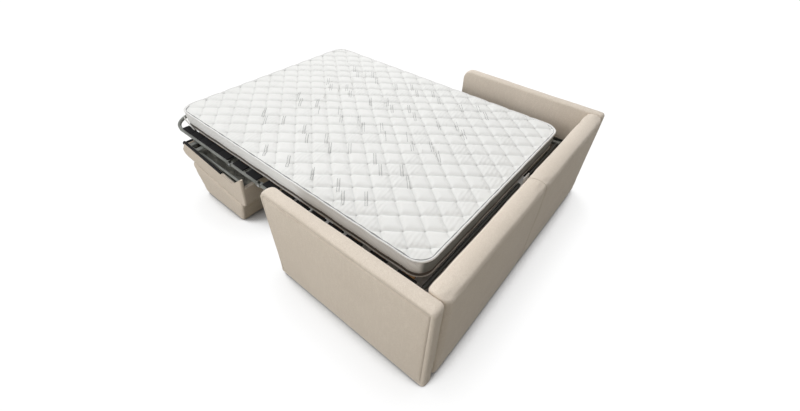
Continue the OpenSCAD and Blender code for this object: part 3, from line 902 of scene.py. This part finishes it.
def mattress_piece(name, s0, s1, head, foot):
    """One stretch of the mattress: quilted top, piped border, mesh band and flat underside."""
    rows = bed_rows(s0, s1, head, foot)
    last = len(rows) - 1
    count = round(2 * (BED[1][0] - EDGE_IN) / chosen("mattress").grid)
    s = np.outer([r[0] for r in rows], np.ones(count + 1))
    x = np.outer([r[1] for r in rows], np.linspace(-1, 1, count + 1))
    z = top_height(x, s)
    bm = bmesh.new()
    top = [[bm.verts.new((x[i, j], REAR - s[i, j], z[i, j])) for j in range(count + 1)]
           for i in range(last + 1)]
    for a, b in zip(top, top[1:]):
        bridge(bm, a, b, closed=False)

    def column(i, j, nx, ns):
        """Points down the side below the edge of the top, which faces along (nx, ns)."""
        px, ps = x[i, j], s[i, j]
        # The seams that run out at the edge pull the piping down a little
        dip = float(quilting(np.array([px - nx * 0.02]), np.array([ps - ns * 0.02]))[0]) * 0.25
        out = []
        for inset, height, _ in PROFILE:
            fade = max(0.0, min(1.0, (height - 0.44) / 0.07))
            wave = 0.0012 * math.sin(px * 31 + ps * 27) * (1 if 0.41 < height < 0.50 else 0.3)
            reach = EDGE_IN - inset + wave
            out.append(bm.verts.new((px + nx * reach, REAR - (ps + ns * reach), height + dip * fade)))
        return out

    columns = {}
    for i, (_, _, (angle, way)) in enumerate(rows):
        nx, ns = math.cos(angle), way * math.sin(angle)
        columns[i, count] = column(i, count, nx, ns)
        columns[i, 0] = column(i, 0, -nx, ns)
    for i, way in ((0, -1),) * head + ((last, 1),) * foot:
        for j in range(1, count):
            columns[i, j] = column(i, j, 0, way)
    right, left = ([(i, j) for i in range(last + 1)] for j in (count, 0))
    across = list(range(count - 1, 0, -1))
    lines = [right, left]
    if head:
        lines = [right[::-1] + [(0, j) for j in across] + left]
    if foot:
        lines = [right + [(last, j) for j in across] + left[::-1]]
    for line in lines:
        for one, two in zip(line, line[1:]):
            a, b = ([top[i][j]] + columns[i, j] for i, j in (one, two))
            for k, (_, _, index) in enumerate(PROFILE):
                bm.faces.new((a[k], b[k], b[k + 1], a[k + 1])).material_index = index
    # Underside, in strips across the bed
    for i in range(last):
        low = [columns[i, 0][-1], columns[i, count][-1]]
        high = [columns[i + 1, count][-1], columns[i + 1, 0][-1]]
        if head and i == 0:
            low = [columns[0, j][-1] for j in range(count + 1)]
        if foot and i == last - 1:
            high = [columns[last, j][-1] for j in range(count, -1, -1)]
        bm.faces.new(low + high).material_index = BED_FINISHES.index("band")
    # Inner end faces where the pieces meet
    for i in [0] * (not head) + [last] * (not foot):
        face = bm.faces.new(top[i] + columns[i, count] + columns[i, 0][::-1])
        face.material_index = BED_FINISHES.index("foam")
        for edge in face.edges:
            edge.smooth = False
    return settle(bm, name, BED_FINISHES)


def stitched_pairs():
    """Pairs of parallel lines sewn on a slanting lattice: (start, end) places as (x, s)."""
    apart = 0.009
    pairs = []
    for column in range(-1, 5):
        for row in range(-2, 6):
            x0 = 0.588 - 0.279 * column - 0.018 * row
            s0 = 1.349 - 0.170 * row + 0.012 * column
            for dx, ds in ((0.0, 0.0), (0.050, -0.083)):
                x1, s1 = x0 + dx, s0 + ds
                x2, s2 = x1 + 0.070, s1 - 0.066
                if max(abs(x1), abs(x2)) < BED[1][0] - 0.035 and s2 > STITCHED_FROM:
                    pairs += [((x1 + o, s1 + o), (x2 + o, s2 + o)) for o in (-apart / 2, apart / 2)]
    return pairs


def stitched_lines(name, s0, s1):
    """The sewn pairs between s0 and s1: a low ridge under each pair, and its two rows of stitches."""
    paths = []
    for (xa, sa), (xb, sb) in stitched_pairs():
        if not (s0 + 0.01 < min(sa, sb) and max(sa, sb) < s1 - 0.01):
            continue
        x, s = np.linspace(xa, xb, 20), np.linspace(sa, sb, 20)
        paths.append(np.column_stack([x, REAR - s, top_height(x, s) + 0.0004]).tolist())
    ridges = [[between(a, b, 0.5) for a, b in zip(one, two)] for one, two in zip(paths[::2], paths[1::2])]
    ridge = tube(name.replace("lines", "ridges"), ridges, 0.0028, "ticking")
    return ridge, stitches(name, paths, "grey_thread", pitch=0.0036, size=0.0042, radius=0.0010)


class SOFA_OT_mattress(bpy.types.Operator):
    """Makes the quilted mattress in three stretches"""
    bl_idname = "sofa.mattress"
    bl_label = "Mattress"

    def execute(self, context):
        s0, s1 = REAR - BED[1][1], REAR - BED[0][1]
        first, second = 0.872, 1.386
        # Half the length over which a fold would bend the mattress, and the height at which it would bend; no
        # stretch is bent by them here
        reach, level = 0.12, 0.45
        for name, a, b, nodes, bodies, joint in (
                ("head_end", s0, first, ("mattress_head", "mattress_mid"),
                 ("head_section", "mid_section"), "mid_fold"),
                ("middle", first, second, ("mattress_bridge",), ("mid_section", "bridge_section"),
                 "bridge_fold"),
                ("foot_end", second, s1, ("mattress_foot",), ("bridge_section", "foot_section"),
                 "foot_fold")):
            piece = mattress_piece("mattress_" + name, a, b, a == s0, b == s1)
            fold = REAR - JOINTS[joint]
            for item in (piece, *stitched_lines("stitched_lines_" + name, a, b)):
                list(bodies)
                fold + reach
                fold - reach
                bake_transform(item)
            stuffed(piece, 0.9, *nodes)
        return {"FINISHED"}


# Arms and back

def loop(low, high, radii, inset, spans):
    """A rounded rectangle drawn in by inset, always with the same number of points."""
    turns = 8
    arcs = []
    for i, (sa, sb) in enumerate(((1, 1), (-1, 1), (-1, -1), (1, -1))):
        hold = max(radii[i], inset + 0.0004)
        a = (high if sa > 0 else low)[0] - sa * hold
        b = (high if sb > 0 else low)[1] - sb * hold
        arcs.append([(a + (hold - inset) * math.cos(t), b + (hold - inset) * math.sin(t))
                     for t in (math.radians(90 * i + 90 * k / turns) for k in range(turns + 1))])
    out = []
    for arc, after, span in zip(arcs, arcs[1:] + arcs[:1], spans):
        out += arc + [between(arc[-1], after[0], k / span) for k in range(1, span)]
    return out


def upholstered_panel(name, low, high, radii, thick, place, edge, seams, item="upholstery"):
    """A padded board: two faces and a domed edge all round; the first face may have a seam beside it."""
    spans = [max(1, round((b - a) / 0.012)) for a, b in zip(low, high)] * 2
    seam = chosen("upholstery").seam_in
    face = [0.235, 0.20, 0.165, 0.13, 0.10, 0.075, 0.055, 0.042, 0.034, 0.029, 0.0268]

    def half(deep):
        """Rings from the middle of one face to the crest of the edge: (distance in, depth)."""
        rows = [(d, 0.0016 - 0.0030 * (1 - math.exp(-(d - seam) / 0.05))) for d in face]
        rows += [(seam + 0.0016, 0.0010 + deep * 0.55), (seam, 0.0012 + deep),
                 (seam - 0.0016, 0.0010 + deep * 0.55)]
        rows += [(seam - 0.0028, 0.0006), (edge + (seam - edge) * 0.35, 0.0)] if edge < seam - 0.004 else []
        return rows + [(edge * (1 - math.sin(a)), thick / 2 * (1 - math.cos(a)))
                       for a in (math.radians(10 * k) for k in range(1, 10))]

    rings = half(0.0045 if seams else 0.0) + [(d, thick - w) for d, w in reversed(half(0.0)[:-1])]
    bm = bmesh.new()
    skin(bm, [[bm.verts.new(place(a, b, w)) for a, b in loop(low, high, radii, d, spans)] for d, w in rings])
    bmesh.ops.recalc_face_normals(bm, faces=bm.faces)
    bm.normal_update()
    # Slow swells and faint wrinkles in the cloth
    moves = []
    for v in bm.verts:
        swell = noise.noise(v.co * 4.0) * 0.0016
        crease = noise.noise(Vector((v.co.x * 26, v.co.y * 26, v.co.z * 9))) * 0.0007
        moves.append(v.normal * (swell + crease))
    for v, move in zip(bm.verts, moves):
        v.co += move
        v.co.z = max(v.co.z, low[1])
    return settle(bm, name, [item])


def arm_seam(place, depth):
    """Points along the seam of an arm's face, for its stitches."""
    inset = chosen("upholstery").seam_in + 0.0035
    ring = [q for q in loop(ARM_LOW, ARM_HIGH, ARM_RADII, inset, [60] * 4) if q[1] > ARM_LOW[1] + 0.05]
    start = max(range(len(ring)), key=lambda i: math.dist(ring[i], ring[i - 1]))
    return [place(a, b, depth) for a, b in ring[start:] + ring[:start]]


class SOFA_OT_arms(bpy.types.Operator):
    """Makes the two upholstered arms with their topstitched seams"""
    bl_idname = "sofa.arms"
    bl_label = "Arms"

    def execute(self, context):
        p = chosen("upholstery")
        for side, sign in (("left", 1), ("right", -1)):
            def place(a, b, w):
                return (sign * (ARM[1][0] - w), REAR - a, b)
            piece = upholstered_panel("arm_" + side, ARM_LOW, ARM_HIGH, ARM_RADII, ARM[1][0] - ARM[0][0],
                                      place, 0.012, True, item="arm_weave")

            def seam_at(co, width):
                return np.exp(-((arm_inset(REAR - co[:, 1], co[:, 2]) - p.seam_in) / width) ** 2)

            def held(co):
                on_face = np.abs(co[:, 0]) > ARM[1][0] - 0.008
                return (on_face & (seam_at(co, 0.006) > 0.4)) | (co[:, 2] < COVER_LOW + 0.02)
            filled(piece, voxel=0.009, cap=0.0026, held=held, floor=COVER_LOW)
            along_normals(piece, lambda co, n: -0.0026 * seam_at(co, 0.0042) * (sign * n[:, 0] > 0.7))
            rows = stitches("arm_stitches_" + side, [arm_seam(place, -0.0004)], "thread", pitch=p.stitch,
                            size=p.stitch * 0.62, radius=0.0006)
            stuffed(piece, 0.85, "arm_cover_" + side)
            belongs("base", "upholstery", piece, rows)
        return {"FINISHED"}


class SOFA_OT_back(bpy.types.Operator):
    """Makes the back panel with its domed top and centre seam"""
    bl_idname = "sofa.back"
    bl_label = "Back panel"

    def execute(self, context):
        low, high = (BACK[0][0] + 0.001, COVER_LOW), (BACK[1][0] - 0.001, BACK[1][2] - 0.001)
        thick = BACK[1][1] - BACK[0][1]

        def place(a, b, w):
            return (a, BACK[1][1] - w, b)
        piece = upholstered_panel("back_panel", low, high, [0.010] * 4, thick, place, 0.022, False)

        def held(co):
            across = np.abs(co[:, 0])
            return (co[:, 2] < COVER_LOW + 0.02) | (across < 0.006) | (across > high[0] - 0.01)
        filled(piece, voxel=0.010, cap=0.004, held=held, floor=COVER_LOW)
        # A seam joins the two lengths of cloth at the middle
        for v in piece.data.vertices:
            pull = 0.0022 * math.exp(-(v.co.x / 0.006) ** 2)
            v.co.z -= pull if v.co.z > high[1] - 0.03 else 0
        arc = [(high[1] - 0.022 * (1 - math.sin(a)) - 0.0014, thick / 2 * (1 - math.cos(a)))
               for a in (math.radians(6 * k) for k in range(16))]
        run = high[1] - BACK[0][2] - 0.045
        path = [place(0, BACK[0][2] + 0.02 + run * k / 60, 0.0008) for k in range(61)]
        path += [place(0, b, w) for b, w in arc] + [place(0, b, thick - w) for b, w in reversed(arc)]
        path += [place(0, high[1] - 0.025 - run * k / 60, thick - 0.0008) for k in range(61)]
        seam = tube("back_seam", [path], 0.0011, "thread", 6)
        stuffed(piece, 0.85, "back_cover")
        belongs("base", "upholstery", piece, seam)
        return {"FINISHED"}


# Seat and backrest

# Sizes that the seat shares with the solids: slope of its side, height of its hinge, lowest point
RAKE = math.radians(8.4)
HINGE_Z = 0.385
SEAT_LOW = 0.169
NEAR, FAR = REAR - SEAT[1][1], REAR - SEAT[0][1]
SIDE_X = SEAT[1][0]
# How far the corners of the seat's and the backrest's outline are rounded
BLOCK_ROUND = 0.018
# Height of the tray's floor above the seat's outside, less the depth of the tray's wall
TRAY_UP = 0.049


def seat_z(s):
    """Height of the seat's sloping underside as it lies open."""
    return SEAT_LOW + (s - NEAR) * math.tan(RAKE)


def seat_side():
    """The seat's outline from the side."""
    low = seat_z(FAR)
    return [(NEAR - 0.007, HINGE_Z + 0.06), (NEAR + 0.036, SEAT_LOW + 0.044),
            (NEAR + 0.044, SEAT_LOW + 0.025), (NEAR + 0.062, SEAT_LOW + 0.0134),
            (NEAR + 0.088, seat_z(NEAR + 0.088)), (FAR - 0.046, seat_z(FAR - 0.046)),
            (FAR - 0.022, seat_z(FAR - 0.022) + 0.0026), (FAR - 0.006, low + 0.013), (FAR, low + 0.029),
            (FAR - 0.004, low + 0.045), (FAR - 0.070, HINGE_Z), (FAR - 0.126, HINGE_Z + 0.06)]


def tray_inside(d):
    """The inner outline of the seat tray, d in from the outside, down to the tray's floor."""
    up = TRAY_UP + d
    near, far = NEAR + d + 0.004, FAR - d - 0.004
    return [(near - 0.004, HINGE_Z + 0.06), (near + 0.030, seat_z(near) + up + 0.01),
            (near + 0.042, seat_z(near + 0.042) + up), (far - 0.030, seat_z(far - 0.030) + up),
            (far - 0.020, seat_z(far) + up + 0.004), (far - 0.125, HINGE_Z + 0.06)]


def above_tray(lowered, wall):
    """Cutters that leave the tray open: over its rim, notched at the sides, and over its lower ends."""
    z = HINGE_Z - lowered
    over = [(FAR + 0.03, HINGE_Z + 0.12), (NEAR - 0.04, HINGE_Z + 0.12)]
    rim = [(NEAR - 0.04, z + 0.022), (NEAR + 0.008, z + 0.022), (NEAR + 0.112, z - 0.059),
           (NEAR + 0.232, z - 0.046), (FAR - 0.070, z), (FAR + 0.03, z + 0.001)]
    ends = [(NEAR - 0.04, z - 0.050), (FAR - 0.110, z - 0.050), (FAR - 0.110, z - 0.0188),
            (FAR + 0.03, z - 0.0188)]
    return prism("rim", rim + over, -1, 1), prism("ends", ends + over, -wall, wall)


def block_line(outline, step):
    """The outline of a rounded block, as closely spaced points."""
    return resample(fillet(outline, BLOCK_ROUND), step)


def rounded_block(name, outline, half_x, edge):
    """A closed block with one outline from side to side and rounded edges at its two ends."""
    shape = block_line(outline, 0.02)
    ends = [(half_x - edge * (1 - math.cos(a)), edge * (1 - math.sin(a)))
            for a in (math.radians(15 * k) for k in range(7))]
    slices = [(-x, d) for x, d in ends] + [(x, d) for x, d in reversed(ends)]
    bm = bmesh.new()
    rings = [[bm.verts.new((x, REAR - s, z)) for s, z in drawn_in(shape, d)] for x, d in slices]
    skin(bm, rings)
    return settle(bm, name, ["upholstery"])


def sliced(piece):
    """Adds a grid of edges to every face, so that flat cloth can swell and crease."""
    bm = bmesh.new()
    bm.from_mesh(piece.data)
    for axis in range(3):
        low, high = (pick(v.co[axis] for v in bm.verts) for pick in (min, max))
        count = int((high - low) / 0.024)
        for k in range(1, count):
            place, normal = Vector(), Vector()
            place[axis] = low + (high - low) * k / count
            normal[axis] = 1
            bmesh.ops.bisect_plane(bm, geom=bm.verts[:] + bm.edges[:] + bm.faces[:], plane_co=place,
                                   plane_no=normal, dist=0.0004)
    bm.to_mesh(piece.data)
    bm.free()


def loosen(piece, amount, floor=0.0):
    """Adds slow swells and small creases to a stuffed piece, which stays above the floor."""
    piece.data.update()
    normals = [v.normal.copy() for v in piece.data.vertices]
    for v, normal in zip(piece.data.vertices, normals):
        swell = noise.noise(v.co * 5.0 + Vector((3, 1, 2)))
        crease = noise.noise(Vector((v.co.x * 9, v.co.y * 24, v.co.z * 24))) * 0.45
        v.co += normal * amount * (swell + crease)
        v.co.z = max(v.co.z, floor)


def seam_rows(name, line, x):
    """The same row of stitches on both ends of a block, along a line in (s, z)."""
    paths = [[(sign * x, REAR - s, z) for s, z in line] for sign in (1, -1)]
    return stitches(name, paths, "thread", pitch=0.006, size=0.0038, radius=0.0007)


class SOFA_OT_seat(bpy.types.Operator):
    """Makes the seat, upside down under the foot, with its quilted lining and black edging"""
    bl_idname = "sofa.seat"
    bl_label = "Seat"

    def execute(self, context):
        wall = SIDE_X - 0.017
        seat = rounded_block("seat_cushion", seat_side(), SIDE_X - 0.001, 0.012)
        cut(seat, prism("cavity", tray_inside(0.017), -wall, wall), *above_tray(-0.001, wall))
        sliced(seat)
        loosen(seat, 0.0018)
        shade_by_angle(seat)
        stuffed(seat, 0.85, "seat_cover")
        lining = prism("seat_lining_cloth", tray_inside(0.0172), -wall + 0.0002, wall - 0.0002)
        lining.data.materials.append(finish("lining"))
        within = wall - 0.0032
        cut(lining, prism("hollow", tray_inside(0.0202), -within, within), *above_tray(0.002, within))
        shade_by_angle(lining)
        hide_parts("seat_lining")
        x, z = SIDE_X - 0.008, HINGE_Z + 0.002
        rim = smooth_path([(NEAR + 0.225, z - 0.0465), (NEAR + 0.40, z - 0.0255), (FAR - 0.09, z - 0.003),
                           (FAR - 0.068, z - 0.002), (FAR - 0.058, z - 0.012), (FAR - 0.055, z - 0.019)], 40)
        paths = [[(sign * x, REAR - s, h) for s, h in rim] for sign in (1, -1)]
        paths.append([(sign * (x - 0.002), REAR - rim[-1][0], rim[-1][1]) for sign in (1, -1)])
        edging = tube("rim_edging", paths, 0.0085, "edging", 10)
        seam = longest_run([(s, h) for s, h in drawn_in(block_line(seat_side(), 0.012), 0.0035)
                            if h < HINGE_Z - 0.07 or (s < NEAR + 0.03 and h < HINGE_Z + 0.015)])
        rows = seam_rows("seat_stitches", seam, SIDE_X - 0.0035)
        belongs("foot_section", "upholstery", seat, rows)
        belongs("foot_section", "lining", lining, edging)
        return {"FINISHED"}


def panel_edge(co, outline):
    """Distance from each point to an outline in (s, z)."""
    s, z = REAR - co[:, 1], co[:, 2]
    best = np.full(len(co), 9.0)
    for (s0, z0), (s1, z1) in zip(outline, outline[1:] + outline[:1]):
        ds, dz = s1 - s0, z1 - z0
        t = np.clip(((s - s0) * ds + (z - z0) * dz) / (ds * ds + dz * dz), 0, 1)
        best = np.minimum(best, np.hypot(s - s0 - t * ds, z - z0 - t * dz))
    return best


class SOFA_OT_backrest(bpy.types.Operator):
    """Makes the backrest, a wedge that lies folded on the floor under the seat"""
    bl_idname = "sofa.backrest"
    bl_label = "Backrest"

    def execute(self, context):
        near, far = REAR - REST[1][1], REAR - REST[0][1]
        half_x = REST[1][0]

        def top(s):
            return seat_z(s) - 0.010
        side = [(near + 0.024, top(near + 0.024)), (near + 0.006, top(near) - 0.012),
                (near, top(near) - 0.032), (near + 0.046, 0.018), (near + 0.058, 0.004),
                (near + 0.076, 0.0005), (far - 0.061, 0.0005),
                (far - 0.047, 0.005), (far - 0.041, 0.018), (far - 0.004, 0.188), (far, 0.208),
                (far - 0.003, 0.226), (far - 0.015, 0.239), (far - 0.035, top(far - 0.035))]
        piece = rounded_block("backrest_cushion", side, half_x - 0.003, 0.016)

        def held(co):
            return (np.abs(co[:, 0]) > half_x - 0.012) & (panel_edge(co, side) < 0.014)
        filled(piece, voxel=0.012, cap=0.004, held=held, floor=0.0004)
        loosen(piece, 0.0016, floor=0.0004)
        outline = drawn_in(block_line(side, 0.012), 0.007)
        rows = seam_rows("backrest_stitches", outline + outline[:1], half_x - 0.0095)
        stuffed(piece, 0.8, "backrest_cover")
        belongs("backrest", "upholstery", piece, rows)
        return {"FINISHED"}


# Frame finishes and small parts

# The finishes of the slots whose own name isn't that of a finish
SLOT_FINISHES = {"frame_steel": "paint", "mattress": "ticking"}


class SOFA_OT_frame(bpy.types.Operator):
    """Gives every solid of the folding frame its finish"""
    bl_idname = "sofa.frame"
    bl_label = "Frame finishes"

    def execute(self, context):
        slots = {part["node"]: part["material_slot"] for part in frame["record"]["subparts"]}
        # The base and the head end's tubes get a paint at a sixth of the frame paint's brightness: a painted
        # shade, so they look as dark as the shaded gap they stand in
        dark = [*frame["record"]["behaviour"]["bodies"]["base"], "head_cross_tubes"]
        for name, node in frame["nodes"].items():
            item = SLOT_FINISHES.get(slots[name], slots[name])
            # The clip gets a whiter plastic than the other white parts: painted light, to look lit
            if name == "head_end_clip":
                item = "clip"
            elif item == "paint" and name in dark:
                item = "shade_darkened_paint"
            material = finish(item)
            if not node.material_slots:
                node.data.materials.append(material)
            for place in node.material_slots:
                place.material = material
        return {"FINISHED"}


def slat_places(node):
    """Where the slats lie, as the y of each one's middle, and the height of their middles."""
    edges = sorted({round(v.co.y, 3) for v in node.data.vertices})
    low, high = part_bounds(node.name)
    return [(a + b) / 2 for a, b in zip(edges[::2], edges[1::2])], (low[2] + high[2]) / 2


class SOFA_OT_holders(bpy.types.Operator):
    """Makes the black holders on the ends of the slats, set almost end to end as a painted shade under the
    mattress's edge
    """
    bl_idname = "sofa.holders"
    bl_label = "Slat holders"

    def execute(self, context):
        start, stop = BED[1][0] - 0.0015, part_box("foot_slats")[1][0] + 0.0025
        size = Vector((stop - start, 0.098, 0.0092))
        bm = bmesh.new()
        bmesh.ops.create_cube(bm, size=1)
        for v in bm.verts:
            v.co *= size
        bmesh.ops.bevel(bm, geom=bm.edges[:], offset=0.0026, segments=3, affect="EDGES", profile=0.5)
        cap = settle(bm, "holder_shape", [])
        for section in ("head", "mid", "bridge", "foot"):
            places, z = slat_places(frame["nodes"][section + "_slats"])
            name = "slat_holders_" + section
            points = [(sign * (start + stop) / 2, y, z + 0.0008) for y in places for sign in (-1, 1)]
            rule = Rule(name + "_rule", "Size")
            spots = rule.node("GeometryNodeMeshToPoints", Mesh=rule.given["Geometry"])
            shape = rule.node("GeometryNodeObjectInfo", Object=cap)
            placed = rule.node("GeometryNodeInstanceOnPoints", Points=spots.outputs[0],
                               Instance=shape.outputs["Geometry"], Scale=rule.given["Size"])
            piece = rule.applied(plain_object(name, points), "edging", placed, Size=1.0)
            belongs(section + "_section", "black_plastic", piece)
        bpy.data.objects.remove(cap)
        return {"FINISHED"}


class SOFA_OT_hoop(bpy.types.Operator):
    """Makes the bent tube that comes out of the rails and goes round the mattress's foot end"""
    bl_idname = "sofa.hoop"
    bl_label = "Foot hoop"

    def execute(self, context):
        low, high = part_box("foot_rails")
        rail = (high[2] - low[2]) / 2
        # Each step is inwards from the rail, forward of its end, and up
        bend = [(0, -0.030, 0), (0, 0.014, 0.001), (0.009, 0.036, 0.018), (0.032, 0.0385, 0.036),
                (0.070, 0.0385, 0.050), (0.130, 0.0385, 0.055)]
        side = [(high[0] - rail - inwards, low[1] - forward, low[2] + rail + up)
                for inwards, forward, up in bend]
        path = smooth_path(side + [(-x, y, z) for x, y, z in side[::-1]], 260)
        piece = tube("foot_hoop_tube", [path], rail - 0.0017, "paint", 16)
        shade_by_angle(piece)
        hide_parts("foot_hoop")
        belongs("foot_section", "frame_steel", piece)
        return {"FINISHED"}


class SOFA_OT_strap(bpy.types.Operator):
    """Makes the white straps at the mattress's two foot corners"""
    bl_idname = "sofa.strap"
    bl_label = "Corner strap"

    def execute(self, context):
        # Along the strap: distance from the sofa's rear, height and width
        path = smooth_path([(2.070, 0.460, 0.030), (2.045, 0.446, 0.026), (2.005, 0.418, 0.014),
                            (1.970, 0.400, 0.007), (1.950, 0.392, 0.005)], 24)
        inner, outer = BED[1][0] + 0.0035, BED[1][0] + 0.0053
        bm = bmesh.new()
        for sign in (1, -1):
            skin(bm, [[bm.verts.new((sign * x, REAR - s, z + side * width / 2))
                       for x, side in ((inner, 1), (outer, 1), (outer, -1), (inner, -1))]
                      for s, z, width in path])
        piece = settle(bm, "corner_straps", ["webbing"])
        shade_by_angle(piece)
        belongs("foot_section", "mattress", piece)
        return {"FINISHED"}


# Stage

CAMERA_PLACE = (1.458, 1.3405, 1.681)
AZIMUTH, ELEVATION, ROLL = (math.radians(a) for a in (127.916, 43.289, 2.111))
LENS = 16.505
FLOOR_HALF = 14


def add_camera(scene):
    camera = bpy.data.objects.new("Camera", put(bpy.data.cameras.new("Camera"), lens=LENS, sensor_width=36))
    scene.collection.objects.link(camera)
    turn = Matrix.Rotation(AZIMUTH, 4, "Z") @ Matrix.Rotation(math.pi / 2 - ELEVATION, 4, "X")
    camera.matrix_world = Matrix.Translation(CAMERA_PLACE) @ turn @ Matrix.Rotation(ROLL, 4, "Z")
    scene.camera = camera


def make_floor():
    """A floor that keeps its shade close to the sofa and under it, and is lifted towards white elsewhere."""
    p = chosen("stage")
    f = Finish("Floor", Roughness=0.9)
    near, wide = (f.number("AO", "ShaderNodeAmbientOcclusion", {"samples": 24}, Distance=reach)
                  for reach in (0.32, 1.1))
    clean = f.mix(f.noise(2, 2) * 0.02, p.floor, scaled(p.floor, 0.98))
    # Near the sofa the floor's own colour is darkened too: a painted contact shadow
    f.feed("Base Color", f.mix(near.rise(0.44, 0.58), scaled(p.floor, 0.62), clean))
    open_floor = near.rise(0.45, 0.60) * p.lift + near.rise(0.60, 0.97) * (0.97 - p.lift)
    glow = f.node("ShaderNodeEmission", Color=(1, 1, 1, 1), Strength=1.05)
    lifted = f.choice(open_floor * wide.rise(0.26, 0.42), f.shader, glow)
    # The floor that lights the sofa from below is a darker one than the floor that is seen
    dim = f.node("ShaderNodeBsdfDiffuse", Color=(0.30, 0.27, 0.20, 1))
    shown = f.choice(f.seen(), dim, lifted)
    join(f.tree, f.tree.nodes["Material Output"].inputs[0], shown.outputs[0])
    return f.material


def add_floor():
    corners = [(x * FLOOR_HALF, y * FLOOR_HALF, 0) for x, y in ((-1, -1), (1, -1), (1, 1), (-1, 1))]
    floor = plain_object("floor", corners, faces=[(0, 1, 2, 3)])
    floor.data.materials.append(make_floor())


def add_room_light(scene):
    """Light from all round, with a white background for the camera."""
    scene.world = scene.world or bpy.data.worlds.new("World")
    scene.world.use_nodes = True
    w = Nodes(scene.world.node_tree)
    w.tree.nodes.clear()
    sky, white = (w.node("ShaderNodeBackground", Color=(1, 1, 1, 1), Strength=strength)
                  for strength in (chosen("stage").sky, 1.0))
    join(w.tree, w.node("ShaderNodeOutputWorld").inputs[0], w.choice(w.seen(), sky, white).outputs[0])


def add_lamp(scene, name, place, aim, size, watts):
    lamp = put(bpy.data.lights.new(name, "AREA"), size=size, energy=watts)
    turn = (Vector(aim) - Vector(place)).to_track_quat("-Z", "Y").to_euler()
    scene.collection.objects.link(put(bpy.data.objects.new(name, lamp), location=place, rotation_euler=turn))


class SOFA_OT_stage(bpy.types.Operator):
    """Makes the floor, the lamps, the room light and the camera"""
    bl_idname = "sofa.stage"
    bl_label = "Stage"

    def execute(self, context):
        scene, p = context.scene, chosen("stage")
        scene.view_settings.view_transform = "Standard"
        add_camera(scene)
        add_floor()
        add_room_light(scene)
        add_lamp(scene, "Key", (-4.0, -3.6, 6.2), (0, 0, 0.3), 3.6, p.key)
        add_lamp(scene, "Fill", (5.8, -0.9, 2.1), (0, 0, 0.3), 3.0, p.fill)
        add_lamp(scene, "Near side", (2.3, 0.5, 3.0), (0.6, 0.1, 0.5), 1.6, p.near)
        return {"FINISHED"}


class SOFA_PT_panel(bpy.types.Panel):
    """Lists the sofa bed's operators and settings"""
    bl_label = "Sofa bed"
    bl_space_type = "VIEW_3D"
    bl_region_type = "UI"
    bl_category = "Sofa bed"

    def draw(self, context):
        for step in STEPS:
            self.layout.operator("sofa." + step)
        for name in SETTINGS:
            group = getattr(context.scene, name)
            box = self.layout.box()
            for key in group.bl_rna.properties.keys():
                if key not in ("rna_type", "name"):
                    box.prop(group, key)


SETTINGS = {"sofa_mattress": MattressSettings, "sofa_upholstery": UpholsterySettings,
            "sofa_frame": FrameSettings, "sofa_stage": StageSettings}
STEPS = ("stage", "mattress", "arms", "back", "seat", "backrest", "strap", "holders", "hoop", "frame")
CLASSES = (*SETTINGS.values(), SOFA_OT_stage, SOFA_OT_mattress, SOFA_OT_arms, SOFA_OT_back, SOFA_OT_seat,
           SOFA_OT_backrest, SOFA_OT_strap, SOFA_OT_holders, SOFA_OT_hoop, SOFA_OT_frame, SOFA_PT_panel)


def register():
    for item in CLASSES:
        bpy.utils.register_class(item)
    for name, group in SETTINGS.items():
        setattr(bpy.types.Scene, name, PointerProperty(type=group))


def unregister():
    for name in SETTINGS:
        delattr(bpy.types.Scene, name)
    for item in reversed(CLASSES):
        bpy.utils.unregister_class(item)


def main():
    register()
    for step in STEPS:
        getattr(bpy.ops.sofa, step)()


if __name__ == "__main__":
    main()
